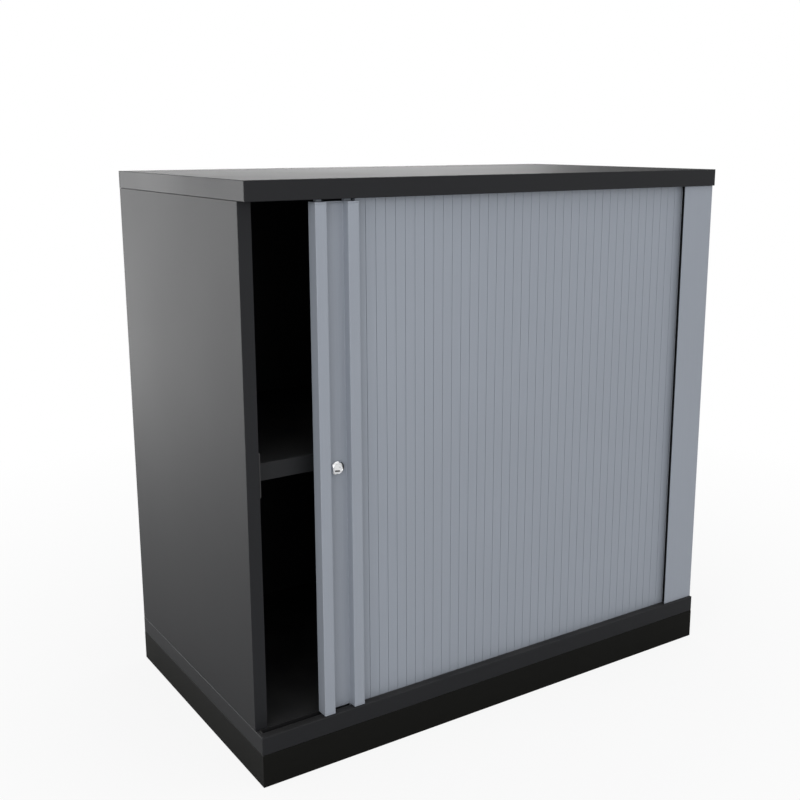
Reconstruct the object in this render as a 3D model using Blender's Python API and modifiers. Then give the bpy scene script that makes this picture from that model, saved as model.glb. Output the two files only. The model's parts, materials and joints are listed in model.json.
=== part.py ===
"""Tambour door cabinet: a low office cupboard whose silver roller shutter runs sideways.

The shutter is a mat of upright slats. It slides along the front, turns round the right
front corner behind a cover strip, runs back along the right side and, once the door is
fully open, round the rear corner and along the back.

Units are metres, +Z is up, +X is to the right as seen from the front, the front faces -Y
and the origin is on the floor under the middle of the cabinet.
"""

import math

import bmesh
import bpy
from mathutils import Matrix, Vector

# Overall size
WIDTH = 0.800
DEPTH = 0.440
HEIGHT = 0.784
FIT_GAP = 0.0003
CUT_OVERRUN = 0.004

# Carcass boards
PLINTH_HEIGHT = 0.046
PLINTH_THICKNESS = 0.019
BOTTOM_THICKNESS = 0.025
TOP_THICKNESS = 0.025
SIDE_THICKNESS = 0.018
SIDE_INSET = 0.0003
SIDE_SETBACK = 0.022
BACK_THICKNESS = 0.008
OUTER_EDGE_ROUND = 0.0012
BOARD_EDGE_ROUND = 0.0006

# Inner walls that keep the contents away from the parked shutter
INNER_SIDE_THICKNESS = 0.012
INNER_BACK_THICKNESS = 0.008
INNER_WALL_CLEARANCE = 0.004
INNER_SIDE_SETBACK = 0.043

# Shelf and its pins
SHELF_THICKNESS = 0.0235
SHELF_SETBACK = 0.043
SHELF_BACK_CLEARANCE = 0.002
PIN_RADIUS = 0.0025
PIN_SEAT = 0.009
PIN_REACH = 0.009
PIN_COLLAR_RADIUS = 0.0045
PIN_COLLAR_THICKNESS = 0.0012
SHELF_SIDE_CLEARANCE = 2 * FIT_GAP + PIN_COLLAR_THICKNESS
PIN_END_ROUND = 0.0005
PIN_FRONT_INSET = 0.037
PIN_BACK_INSET = 0.045
PIN_HOLE_PITCH = 0.032
PIN_HOLES_EACH_WAY = 5

# Shutter slats
SLAT_PITCH = 0.015
SLAT_THICKNESS = 0.006
SLAT_GROOVE = 0.0004
SLAT_CHAMFER = 0.0003
FILM_THICKNESS = 0.001
SHUTTER_SETBACK = 0.014
SHUTTER_CLEARANCE = 0.0025
HINGE_RADIUS = 0.028
SLAT_LIFT = 0.002
LEADING_STRIP = 0.016
BEAD_WIDTH = 0.0042
BEAD_DEPTH = 0.0025
NECK_THICKNESS = 0.002

# Guide rails let into the top and bottom panels
RAIL_WALL = 0.0015
RAIL_FLOOR = 0.0015
RAIL_HEIGHT = 0.010
RAIL_OUTER_CLEARANCE = 0.0011
RAIL_INNER_CLEARANCE = 0.0014
RAIL_START_INSET = 0.004
RAIL_END_SPARE = 0.001
STOP_LENGTH = 0.003
CURVE_STEPS = 8

# Handle profile
HANDLE_LEFT = 0.094
RIB_WIDTH = 0.016
CHANNEL_WIDTH = 0.030
RIB_SETBACK = 0.002
CHANNEL_SETBACK = 0.015
CHANNEL_FLOOR = 0.0025
HANDLE_WALL = 0.002
HANDLE_CHAMFER = 0.0006
HANDLE_BOTTOM_GAP = 0.001
HANDLE_TOP_GAP = 0.0035
GUIDE_PLATE = 0.002
GUIDE_PEG = 0.010
GUIDE_FIN_INSET = 0.007
GUIDE_FIN_EDGE = 0.001

# Cylinder lock in the handle's channel
LOCK_HEIGHT = 0.412
LOCK_RIM_RADIUS = 0.00925
LOCK_RIM_THICKNESS = 0.0010
LOCK_RIM_CHAMFER = 0.0003
LOCK_MOUTH_RADIUS = 0.0083
LOCK_BODY_RADIUS = 0.0084
LOCK_BODY_LENGTH = 0.0115
LOCK_BORE_CLEARANCE = 0.0004
LOCK_PLUG_RADIUS = 0.0069
LOCK_PLUG_RECESS = 0.0023
LOCK_NUT_RADIUS = 0.0125
LOCK_NUT_THICKNESS = 0.004
KEYWAY_WIDTH = 0.0078
KEYWAY_HEIGHT = 0.0018
KEYWAY_DEPTH = 0.004
KEYWAY_DROP = 0.0034
KEYWAY_SHIFT = 0.0013
PLUG_SQUARE = 0.0064
CAM_THICKNESS = 0.0025
CAM_HUB_RADIUS = 0.008
CAM_REACH = 0.020
CAM_HALF_WIDTH = 0.005
CAM_ARC_STEPS = 12
CAM_SCREW_HEAD_RADIUS = 0.0045
CAM_SCREW_HEAD = 0.002
CAM_SCREW_RADIUS = 0.0015
CAM_SCREW_LENGTH = 0.008

# Strike plate and mortise in the left side panel
STRIKE_THICKNESS = 0.0015
STRIKE_WIDTH = 0.0115
STRIKE_HEIGHT = 0.060
STRIKE_RISE = 0.005
STRIKE_SETBACK = 0.0008
SLOT_SIDE_CLEARANCE = 0.0014
SLOT_END_CLEARANCE = 0.002
MORTISE_END_CLEARANCE = 0.0015
STRIKE_SCREW_SPACING = 0.045
STRIKE_SCREW_RADIUS = 0.0015
STRIKE_SCREW_HEAD_RADIUS = 0.003
STRIKE_SCREW_HEAD = 0.0013
STRIKE_SCREW_LENGTH = 0.012
DOOR_CLOSED_GAP = 0.001

# Cover strip over the shutter's turning corner, and the rubber lip that closes its gap to the slats
COVER_WIDTH = 0.0605
COVER_SETBACK = 0.004
COVER_WALL = 0.0014
COVER_LEG_WALL = 0.002
COVER_CHAMFER = 0.0005
SEAL_WIDTH = 0.0065
SEAL_BASE = 0.0012
SEAL_LIP = 0.0008
SEAL_LEAN = 0.0041

# Knock-down fittings that join the sides to the top and bottom
FITTING_RADIUS = 0.0075
FITTING_DEPTH = 0.0124
FITTING_EDGE_DISTANCE = 0.034
FITTING_FRONT_INSET = 0.060
FITTING_BACK_INSET = 0.060
FITTING_SLOT_LENGTH = 0.009
FITTING_SLOT_WIDTH = 0.0016
FITTING_SLOT_DEPTH = 0.002
BOLT_SHAFT_RADIUS = 0.0027
BOLT_THREAD_RADIUS = 0.003
BOLT_THREAD_LENGTH = 0.011
BOLT_NECK_RADIUS = 0.0016
BOLT_NECK_LENGTH = 0.004
BOLT_HEAD_LENGTH = 0.0026
BOLT_HOLE_CLEARANCE = 0.0005

ROUND_STEPS = 24
SMALL_ROUND_STEPS = 12
HOLE_STEPS = 12

# Places worked out from the sizes above
LEFT = -WIDTH / 2
RIGHT = WIDTH / 2
FRONT = -DEPTH / 2
BACK = DEPTH / 2
FLOOR_Z = PLINTH_HEIGHT + BOTTOM_THICKNESS
CEILING_Z = HEIGHT - TOP_THICKNESS
SIDE_LOW_Z = FLOOR_Z + FIT_GAP
SIDE_HIGH_Z = CEILING_Z - FIT_GAP
SIDE_FRONT_Y = FRONT + SIDE_SETBACK
LEFT_INNER_X = LEFT + SIDE_INSET + SIDE_THICKNESS
RIGHT_INNER_X = RIGHT - SIDE_INSET - SIDE_THICKNESS
BACK_FACE_Y = BACK - FIT_GAP
BACK_INNER_Y = BACK_FACE_Y - BACK_THICKNESS

HALF_FILM = FILM_THICKNESS / 2
SLAT_FACE = SLAT_THICKNESS - HALF_FILM
HINGE_FRONT_Y = FRONT + SHUTTER_SETBACK + SLAT_FACE
HINGE_SIDE_X = RIGHT_INNER_X - SHUTTER_CLEARANCE - SLAT_FACE
HINGE_BACK_Y = BACK_INNER_Y - SHUTTER_CLEARANCE - SLAT_FACE
TURN_X = HINGE_SIDE_X - HINGE_RADIUS
FRONT_TURN_Y = HINGE_FRONT_Y + HINGE_RADIUS
REAR_TURN_Y = HINGE_BACK_Y - HINGE_RADIUS
TURN_LENGTH = HINGE_RADIUS * math.pi / 2
SIDE_RUN = REAR_TURN_Y - FRONT_TURN_Y

INNER_SIDE_FACE_X = HINGE_SIDE_X - HALF_FILM - INNER_WALL_CLEARANCE
INNER_SIDE_X = INNER_SIDE_FACE_X - INNER_SIDE_THICKNESS
INNER_BACK_FACE_Y = HINGE_BACK_Y - HALF_FILM - INNER_WALL_CLEARANCE
INNER_BACK_Y = INNER_BACK_FACE_Y - INNER_BACK_THICKNESS

HANDLE_X = LEFT + HANDLE_LEFT
HANDLE_RIGHT_X = HANDLE_X + 2 * RIB_WIDTH + CHANNEL_WIDTH
HANDLE_BACK_Y = FRONT + SHUTTER_SETBACK + SLAT_THICKNESS
HANDLE_LOW_Z = FLOOR_Z + HANDLE_BOTTOM_GAP
HANDLE_HIGH_Z = CEILING_Z - HANDLE_TOP_GAP
PROFILE_LOW_Z = HANDLE_LOW_Z + GUIDE_PLATE + FIT_GAP
PROFILE_HIGH_Z = HANDLE_HIGH_Z - GUIDE_PLATE - FIT_GAP
SEAM_X = HANDLE_RIGHT_X + LEADING_STRIP
DOOR_CLOSE_TRAVEL = HANDLE_LEFT - DOOR_CLOSED_GAP
DOOR_OPEN_TRAVEL = TURN_X - SEAM_X
SLAT_COUNT = math.ceil((DOOR_CLOSE_TRAVEL + DOOR_OPEN_TRAVEL + TURN_LENGTH) / SLAT_PITCH)
SHUTTER_LENGTH = SLAT_COUNT * SLAT_PITCH
PARKED_BACK_RUN = SHUTTER_LENGTH - 2 * TURN_LENGTH - SIDE_RUN
BEAD_RIGHT_X = HANDLE_RIGHT_X - HANDLE_WALL - FIT_GAP
BEAD_LEFT_X = BEAD_RIGHT_X - BEAD_DEPTH
BEAD_BACK_Y = HANDLE_BACK_Y - HANDLE_WALL - FIT_GAP
BEAD_FRONT_Y = BEAD_BACK_Y - BEAD_WIDTH
NECK_Y = (BEAD_BACK_Y + BEAD_FRONT_Y) / 2

RAIL_TOP_Z = FLOOR_Z - FIT_GAP
RAIL_LOW_Z = RAIL_TOP_Z - RAIL_HEIGHT
SLAT_LOW_Z = RAIL_LOW_Z + RAIL_FLOOR + FIT_GAP
SLAT_HIGH_Z = CEILING_Z + FIT_GAP + RAIL_HEIGHT - RAIL_FLOOR - SLAT_LIFT
RAIL_START_X = LEFT + RAIL_START_INSET
BACK_RAIL_LENGTH = PARKED_BACK_RUN + RAIL_END_SPARE + STOP_LENGTH + FIT_GAP
SLOT_OUTER = SLAT_FACE + RAIL_OUTER_CLEARANCE
SLOT_INNER = HALF_FILM + RAIL_INNER_CLEARANCE
RAIL_OUTER = SLOT_OUTER + RAIL_WALL
RAIL_INNER = SLOT_INNER + RAIL_WALL

LOCK_X = HANDLE_X + RIB_WIDTH + CHANNEL_WIDTH / 2
LOCK_SEAT_Y = FRONT + CHANNEL_SETBACK
LOCK_BODY_END = LOCK_BODY_LENGTH
CAM_NEAR = LOCK_BODY_END + FIT_GAP
CAM_FAR = CAM_NEAR + CAM_THICKNESS
CAM_MIDDLE_Y = LOCK_SEAT_Y + (CAM_NEAR + CAM_FAR) / 2
LOCKED_X = LOCK_X - DOOR_CLOSE_TRAVEL
STRIKE_MIDDLE_Y = SIDE_FRONT_Y + STRIKE_SETBACK + STRIKE_WIDTH / 2
STRIKE_FACE_X = LEFT_INNER_X + FIT_GAP + STRIKE_THICKNESS

SHELF_MIDDLE_Z = (FLOOR_Z + CEILING_Z) / 2
SHELF_LOW_Z = SHELF_MIDDLE_Z - SHELF_THICKNESS / 2
SHELF_FRONT_Y = FRONT + SHELF_SETBACK
SHELF_BACK_Y = INNER_BACK_Y - SHELF_BACK_CLEARANCE
PIN_Z = SHELF_LOW_Z - FIT_GAP - PIN_RADIUS
PIN_PLACES_Y = {"front": SHELF_FRONT_Y + PIN_FRONT_INSET, "back": SHELF_BACK_Y - PIN_BACK_INSET}
FITTING_PLACES_Y = {"front": SIDE_FRONT_Y + FITTING_FRONT_INSET, "back": BACK - FITTING_BACK_INSET}

# Directions
ALONG_X = Vector((1, 0, 0))
ALONG_Y = Vector((0, 1, 0))
ALONG_Z = Vector((0, 0, 1))

# Finishes: base colour (linear), metallic, roughness
FINISHES = {
    "anthracite_board": ((0.014, 0.0145, 0.016), 0.0, 0.55),
    "black_board": ((0.0052, 0.0052, 0.0044), 0.0, 0.60),
    "inner_board": ((0.014, 0.0145, 0.016), 0.0, 0.50),
    "silver_plastic": ((0.275, 0.300, 0.345), 0.0, 0.43),
    "rail_plastic": ((0.012, 0.012, 0.013), 0.0, 0.50),
    "stop_rubber": ((0.015, 0.015, 0.015), 0.0, 0.85),
    "chrome": ((0.780, 0.790, 0.800), 1.0, 0.12),
    "zinc": ((0.520, 0.530, 0.540), 1.0, 0.35),
    "steel": ((0.450, 0.450, 0.460), 1.0, 0.30),
}


def clear_scene():
    """Remove whatever the file opened with."""
    for obj in list(bpy.data.objects):
        bpy.data.objects.remove(obj, do_unlink=True)


def new_collection(name):
    collection = bpy.data.collections.new(name)
    bpy.context.scene.collection.children.link(collection)
    return collection


def make_finishes():
    """One Principled material for each named finish."""
    made = {}
    for name, (colour, metallic, roughness) in FINISHES.items():
        material = bpy.data.materials.new(name)
        material.use_nodes = True
        shader = material.node_tree.nodes["Principled BSDF"]
        shader.inputs["Base Color"].default_value = (*colour, 1.0)
        shader.inputs["Metallic"].default_value = metallic
        shader.inputs["Roughness"].default_value = roughness
        material.diffuse_color = (*colour, 1.0)
        made[name] = material
    return made


clear_scene()
PARTS = new_collection("tambour_door_cabinet")
CUTTERS = new_collection("cutters")
MATERIALS = make_finishes()


def facing(y_direction, z_direction):
    """Rotation that turns a piece's own Y and Z to these two directions."""
    x_direction = y_direction.cross(z_direction)
    return Matrix((x_direction, y_direction, z_direction)).transposed().to_euler()


def add_part(name, data, finish, location=(0, 0, 0), rotation=(0, 0, 0)):
    obj = bpy.data.objects.new(name, data)
    obj.location = location
    obj.rotation_euler = rotation
    obj.data.materials.clear()
    obj.data.materials.append(MATERIALS[finish])
    PARTS.objects.link(obj)
    return obj


def add_cutter(name, data, location=(0, 0, 0), rotation=(0, 0, 0)):
    obj = bpy.data.objects.new(name, data)
    obj.location = location
    obj.rotation_euler = rotation
    obj.hide_render = True
    obj.display_type = "WIRE"
    CUTTERS.objects.link(obj)
    return obj


def combine(obj, other, operation):
    """Add a Boolean of another object to this one."""
    modifier = obj.modifiers.new(f"{operation.lower()} {other.name}", "BOOLEAN")
    modifier.operation = operation
    modifier.solver = "EXACT"
    modifier.object = other


def cut(obj, cutter):
    combine(obj, cutter, "DIFFERENCE")


def join(obj, other):
    combine(obj, other, "UNION")


def round_edges(obj, width, segments):
    modifier = obj.modifiers.new("edge rounding", "BEVEL")
    modifier.width = width
    modifier.segments = segments
    modifier.limit_method = "ANGLE"


def box_mesh(name, size):
    """A box of this size, centred on its own origin."""
    mesh = bpy.data.meshes.new(name)
    shape = bmesh.new()
    bmesh.ops.create_cube(shape, size=1)
    bmesh.ops.scale(shape, vec=size, verts=shape.verts)
    shape.to_mesh(mesh)
    shape.free()
    return mesh


def span(low, high):
    """The size and the middle of the box between two corners."""
    low, high = Vector(low), Vector(high)
    return high - low, (high + low) / 2


def board(name, low, high, finish, edge=BOARD_EDGE_ROUND, segments=1):
    """A rectangular panel with eased edges."""
    size, middle = span(low, high)
    obj = add_part(name, box_mesh(name, size), finish, middle)
    round_edges(obj, edge, segments)
    return obj


def box_cutter(name, low, high):
    size, middle = span(low, high)
    return add_cutter(name, box_mesh(name, size), middle)


def rod_cutter(name, places, direction, radius, depth, steps=HOLE_STEPS):
    """Equal round holes bored from these places along one direction, as one cutter."""
    mesh = bpy.data.meshes.new(name)
    shape = bmesh.new()
    turn = direction.to_track_quat("Z", "Y").to_matrix().to_4x4()
    middle = direction * ((depth - CUT_OVERRUN) / 2)
    for place in places:
        bmesh.ops.create_cone(
            shape,
            cap_ends=True,
            segments=steps,
            radius1=radius,
            radius2=radius,
            depth=depth + CUT_OVERRUN,
            matrix=Matrix.Translation(Vector(place) + middle) @ turn,
        )
    shape.to_mesh(mesh)
    shape.free()
    return add_cutter(name, mesh)


def flat_curve(name, loops, thickness):
    """A closed outline, with any holes as further loops, filled and given a thickness."""
    curve = bpy.data.curves.new(name, "CURVE")
    curve.dimensions = "2D"
    curve.fill_mode = "BOTH"
    curve.extrude = thickness / 2
    for loop in loops:
        spline = curve.splines.new("POLY")
        spline.points.add(len(loop) - 1)
        for point, (x, y) in zip(spline.points, loop):
            point.co = (x, y, 0, 1)
        spline.use_cyclic_u = True
    return curve


def as_mesh(obj):
    """Replace a curve object by the welded mesh that it draws, so that it can be cut or joined."""
    bpy.context.view_layer.update()
    evaluated = obj.evaluated_get(bpy.context.evaluated_depsgraph_get())
    mesh = bpy.data.meshes.new_from_object(evaluated)
    shape = bmesh.new()
    shape.from_mesh(mesh)
    bmesh.ops.remove_doubles(shape, verts=shape.verts, dist=FIT_GAP / 100)
    bmesh.ops.recalc_face_normals(shape, faces=shape.faces)
    shape.to_mesh(mesh)
    shape.free()
    name, owners, matrix = obj.name, obj.users_collection, obj.matrix_world.copy()
    materials = [slot.material for slot in obj.material_slots]
    hidden, display = obj.hide_render, obj.display_type
    bpy.data.objects.remove(obj, do_unlink=True)
    made = bpy.data.objects.new(name, mesh)
    mesh.materials.clear()
    for material in materials:
        mesh.materials.append(material)
    made.matrix_world = matrix
    made.hide_render, made.display_type = hidden, display
    for owner in owners:
        owner.objects.link(made)
    return made


def upright_profile(name, loops, low_z, high_z, finish):
    """An extruded section that stands upright."""
    middle = (0, 0, (low_z + high_z) / 2)
    return as_mesh(add_part(name, flat_curve(name, loops, high_z - low_z), finish, middle))


def circle_loop(x, y, radius, steps):
    angles = [2 * math.pi * step / steps for step in range(steps)]
    return [(x + radius * math.cos(angle), y + radius * math.sin(angle)) for angle in angles]


def rectangle_loop(x0, y0, x1, y1):
    return [(x0, y0), (x1, y0), (x1, y1), (x0, y1)]


def turned(name, profile, finish, location, rotation, steps=ROUND_STEPS, closed=False):
    """A turned piece. The profile lists (radius, height), down the outer side."""
    mesh = bpy.data.meshes.new(name)
    edges = [(index, index + 1) for index in range(len(profile) - 1)]
    if closed:
        edges.append((len(profile) - 1, 0))
    mesh.from_pydata([(radius, 0, height) for radius, height in profile], edges, [])
    obj = add_part(name, mesh, finish, location, rotation)
    screw = obj.modifiers.new("turning", "SCREW")
    screw.steps = screw.render_steps = steps
    screw.use_merge_vertices = True
    screw.merge_threshold = FIT_GAP / 100
    screw.use_smooth_shade = False
    return obj


def smooth_rounds(obj):
    """Shade the evaluated piece smooth, with its real edges kept sharp."""
    obj.data.shade_smooth()
    obj.data.set_sharp_from_angle(angle=math.radians(35))


def hang_on(parent, children):
    """Parent pieces to an empty without moving them."""
    bpy.context.view_layer.update()
    for child in children:
        child.parent = parent
        child.matrix_parent_inverse = parent.matrix_world.inverted()


def joint_empty(name, location):
    empty = bpy.data.objects.new(name, None)
    empty.location = location
    PARTS.objects.link(empty)
    return empty


# The shutter's path, in plan


def path_point(distance):
    """Point of the hinge line at this distance past the start of the front corner."""
    if distance < 0:
        return Vector((TURN_X + distance, HINGE_FRONT_Y))
    if distance < TURN_LENGTH:
        turn = distance / HINGE_RADIUS
        return Vector((TURN_X, FRONT_TURN_Y)) + HINGE_RADIUS * Vector((math.sin(turn), -math.cos(turn)))
    distance -= TURN_LENGTH
    if distance < SIDE_RUN:
        return Vector((HINGE_SIDE_X, FRONT_TURN_Y + distance))
    distance -= SIDE_RUN
    if distance < TURN_LENGTH:
        turn = distance / HINGE_RADIUS
        return Vector((TURN_X, REAR_TURN_Y)) + HINGE_RADIUS * Vector((math.cos(turn), math.sin(turn)))
    return Vector((TURN_X - (distance - TURN_LENGTH), HINGE_BACK_Y))


def next_hinge(distance):
    """Distance of the hinge that lies one slat pitch away in a straight line."""
    start = path_point(distance)
    near, far = distance, distance + 2 * SLAT_PITCH
    while far - near > FIT_GAP / 1000:
        middle = (near + far) / 2
        if (path_point(middle) - start).length < SLAT_PITCH:
            near = middle
        else:
            far = middle
    return far


def hinge_points():
    """Every hinge of the shutter at rest, from the leading strip to the tail."""
    distance = SEAM_X - TURN_X
    points = [path_point(distance)]
    for _ in range(SLAT_COUNT):
        distance = next_hinge(distance)
        points.append(path_point(distance))
    return points


def slat_front(start, end):
    """The six corners of one slat's show side, with a chamfer at both grooves."""
    along = (end - start).normalized()
    out = Vector((along.y, -along.x))
    groove, chamfer = SLAT_GROOVE / 2, SLAT_CHAMFER
    return [
        start + groove * along + HALF_FILM * out,
        start + groove * along + (SLAT_FACE - chamfer) * out,
        start + (groove + chamfer) * along + SLAT_FACE * out,
        end - (groove + chamfer) * along + SLAT_FACE * out,
        end - groove * along + (SLAT_FACE - chamfer) * out,
        end - groove * along + HALF_FILM * out,
    ]


def shutter_outline():
    """Plan outline of the whole mat: bead, neck, leading strip, slats and their film hinges."""
    hinges = hinge_points()
    seam = hinges[0]
    start_x = HANDLE_RIGHT_X + FIT_GAP
    face_y, rear_y = seam.y - SLAT_FACE, seam.y + HALF_FILM
    neck_front, neck_back = NECK_Y - NECK_THICKNESS / 2, NECK_Y + NECK_THICKNESS / 2
    groove_x = seam.x - SLAT_GROOVE / 2
    outline = [
        (BEAD_LEFT_X, BEAD_FRONT_Y),
        (BEAD_RIGHT_X, BEAD_FRONT_Y),
        (BEAD_RIGHT_X, neck_front),
        (start_x, neck_front),
        (start_x, face_y + SLAT_CHAMFER),
        (start_x + SLAT_CHAMFER, face_y),
        (groove_x - SLAT_CHAMFER, face_y),
        (groove_x, face_y + SLAT_CHAMFER),
        (groove_x, seam.y - HALF_FILM),
    ]
    for start, end in zip(hinges, hinges[1:]):
        outline += [tuple(point) for point in slat_front(start, end)]
    tail = (hinges[-1] - hinges[-2]).normalized()
    outline.append(tuple(hinges[-1] - SLAT_GROOVE / 2 * tail - HALF_FILM * Vector((tail.y, -tail.x))))
    for before, here, after in reversed(list(zip(hinges, hinges[1:], hinges[2:]))):
        first, second = (here - before).normalized(), (after - here).normalized()
        bisector = (Vector((first.y, -first.x)) + Vector((second.y, -second.x))).normalized()
        share = bisector.dot(Vector((first.y, -first.x)))
        outline.append(tuple(here - HALF_FILM / share * bisector))
    outline += [
        (seam.x, rear_y),
        (start_x, rear_y),
        (start_x, neck_back),
        (BEAD_RIGHT_X, neck_back),
        (BEAD_RIGHT_X, BEAD_BACK_Y),
        (BEAD_LEFT_X, BEAD_BACK_Y),
    ]
    return outline


def shutter():
    return upright_profile("tambour_shutter", [shutter_outline()], SLAT_LOW_Z, SLAT_HIGH_Z, "silver_plastic")


# Guide rails


def rail_section(low_z, high_z, floor_low):
    """Section of a rail as (outward offset, height): a channel whose floor is at one end."""
    floor_z = low_z if floor_low else high_z
    mouth_z = high_z if floor_low else low_z
    inside_z = floor_z + RAIL_FLOOR if floor_low else floor_z - RAIL_FLOOR
    return [
        (RAIL_OUTER, floor_z),
        (RAIL_OUTER, mouth_z),
        (SLOT_OUTER, mouth_z),
        (SLOT_OUTER, inside_z),
        (-SLOT_INNER, inside_z),
        (-SLOT_INNER, mouth_z),
        (-RAIL_INNER, mouth_z),
        (-RAIL_INNER, floor_z),
    ]


def section_face(shape, section, place, out):
    """The section as a face, with its offsets along the plan direction out."""
    verts = [shape.verts.new((*(place + offset * out), z)) for offset, z in section]
    return shape.faces.new(verts)


def finish_rail(name, shape):
    bmesh.ops.recalc_face_normals(shape, faces=shape.faces)
    mesh = bpy.data.meshes.new(name)
    shape.to_mesh(mesh)
    shape.free()
    return add_part(name, mesh, "rail_plastic")


def straight_rail(name, section, start, end, out):
    """A rail pulled straight between two plan points."""
    shape = bmesh.new()
    face = section_face(shape, section, start, out)
    made = bmesh.ops.extrude_face_region(shape, geom=[face], use_keep_orig=True)
    verts = [item for item in made["geom"] if isinstance(item, bmesh.types.BMVert)]
    bmesh.ops.translate(shape, verts=verts, vec=(*(end - start), 0))
    return finish_rail(name, shape)


def curved_rail(name, section, centre, start_out):
    """A quarter-turn rail spun round a plan centre, from the direction start_out."""
    shape = bmesh.new()
    face = section_face(shape, section, centre + HINGE_RADIUS * start_out, start_out)
    spun = bmesh.ops.spin(
        shape,
        geom=[face, *face.edges, *face.verts],
        cent=(*centre, 0),
        axis=ALONG_Z,
        angle=math.pi / 2,
        steps=CURVE_STEPS,
        use_duplicate=False,
    )
    last = [item for item in spun["geom_last"] if isinstance(item, bmesh.types.BMVert)]
    if not any(isinstance(item, bmesh.types.BMFace) for item in spun["geom_last"]):
        bmesh.ops.contextual_create(shape, geom=last)
    return finish_rail(name, shape)


def rails(level, low_z, high_z, floor_low):
    """The five rails of one level, each a gap short of its neighbour."""
    section = rail_section(low_z, high_z, floor_low)
    front, side, rear = Vector((0, -1)), Vector((1, 0)), Vector((0, 1))
    gap_x, gap_y = Vector((FIT_GAP, 0)), Vector((0, FIT_GAP))
    front_start = Vector((RAIL_START_X + FIT_GAP, HINGE_FRONT_Y))
    front_end = Vector((TURN_X, HINGE_FRONT_Y)) - gap_x
    side_start = Vector((HINGE_SIDE_X, FRONT_TURN_Y)) + gap_y
    side_end = Vector((HINGE_SIDE_X, REAR_TURN_Y)) - gap_y
    back_start = Vector((TURN_X, HINGE_BACK_Y)) - gap_x
    back_end = Vector((TURN_X - BACK_RAIL_LENGTH, HINGE_BACK_Y))
    straight_rail(f"{level}_front_rail", section, front_start, front_end, front)
    curved_rail(f"{level}_front_curve", section, Vector((TURN_X, FRONT_TURN_Y)), front)
    straight_rail(f"{level}_side_rail", section, side_start, side_end, side)
    curved_rail(f"{level}_rear_curve", section, Vector((TURN_X, REAR_TURN_Y)), side)
    straight_rail(f"{level}_back_rail", section, back_start, back_end, rear)


def rail_stops(level, low_z, high_z):
    """Rubber stops in the two ends of a rail: they meet the door closed and the shutter parked."""
    outer, inner = SLOT_OUTER - FIT_GAP, SLOT_INNER - FIT_GAP
    start_x = RAIL_START_X + 2 * FIT_GAP
    end_x = TURN_X - BACK_RAIL_LENGTH + FIT_GAP
    board(
        f"{level}_closed_stop",
        (start_x, HINGE_FRONT_Y - outer, low_z),
        (start_x + STOP_LENGTH, HINGE_FRONT_Y + inner, high_z),
        "stop_rubber",
    )
    board(
        f"{level}_open_stop",
        (end_x, HINGE_BACK_Y - inner, low_z),
        (end_x + STOP_LENGTH, HINGE_BACK_Y + outer, high_z),
        "stop_rubber",
    )


def channel_outline():
    """Plan outline of the routed channel that takes the rails, a gap wider than they are."""
    outer, inner = RAIL_OUTER + FIT_GAP, RAIL_INNER + FIT_GAP

    def edge(offset):
        radius = HINGE_RADIUS + offset
        points = [(RAIL_START_X, HINGE_FRONT_Y - offset)]
        for step in range(CURVE_STEPS + 1):
            turn = math.pi / 2 * step / CURVE_STEPS
            points.append((TURN_X + radius * math.sin(turn), FRONT_TURN_Y - radius * math.cos(turn)))
        for step in range(CURVE_STEPS + 1):
            turn = math.pi / 2 * step / CURVE_STEPS
            points.append((TURN_X + radius * math.cos(turn), REAR_TURN_Y + radius * math.sin(turn)))
        points.append((TURN_X - BACK_RAIL_LENGTH - FIT_GAP, HINGE_BACK_Y + offset))
        return points

    return edge(outer) + edge(-inner)[::-1]


def channel_cutter(name, low_z, high_z):
    middle = (0, 0, (low_z + high_z) / 2)
    return as_mesh(add_cutter(name, flat_curve(name, [channel_outline()], high_z - low_z), middle))


# Carcass


def fitting_places(side):
    """Every knock-down fitting of one side: its name, plan point, height and the way to its panel."""
    bolt_x = (LEFT_INNER_X - SIDE_THICKNESS / 2) if side == "left" else (RIGHT_INNER_X + SIDE_THICKNESS / 2)
    for level, edge_z, up in (("low", FLOOR_Z, 1), ("high", CEILING_Z, -1)):
        for place, y in FITTING_PLACES_Y.items():
            yield f"{side}_{level}_{place}", bolt_x, y, edge_z, up


def bolt_hole_places(edge_z):
    places = []
    for side in ("left", "right"):
        for _, x, y, z, _ in fitting_places(side):
            if z == edge_z:
                places.append((x, y, z))
    return places


def bottom_panel():
    panel = board(
        "bottom_panel",
        (LEFT, FRONT, PLINTH_HEIGHT),
        (RIGHT, BACK, FLOOR_Z),
        "anthracite_board",
        OUTER_EDGE_ROUND,
        2,
    )
    cut(panel, channel_cutter("lower_channel_cutter", RAIL_LOW_Z - FIT_GAP, FLOOR_Z + CUT_OVERRUN))
    radius = BOLT_THREAD_RADIUS + FIT_GAP
    depth = BOLT_THREAD_LENGTH + FIT_GAP
    holes = rod_cutter("lower_bolt_hole_cutter", bolt_hole_places(FLOOR_Z), -ALONG_Z, radius, depth)
    cut(panel, holes)
    return panel


def top_panel():
    panel = board(
        "top_panel",
        (LEFT, FRONT, CEILING_Z),
        (RIGHT, BACK, HEIGHT),
        "anthracite_board",
        OUTER_EDGE_ROUND,
        2,
    )
    ceiling = CEILING_Z + FIT_GAP + RAIL_HEIGHT + FIT_GAP
    cut(panel, channel_cutter("upper_channel_cutter", CEILING_Z - CUT_OVERRUN, ceiling))
    radius = BOLT_THREAD_RADIUS + FIT_GAP
    depth = BOLT_THREAD_LENGTH + FIT_GAP
    holes = rod_cutter("upper_bolt_hole_cutter", bolt_hole_places(CEILING_Z), ALONG_Z, radius, depth)
    cut(panel, holes)
    return panel


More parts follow.
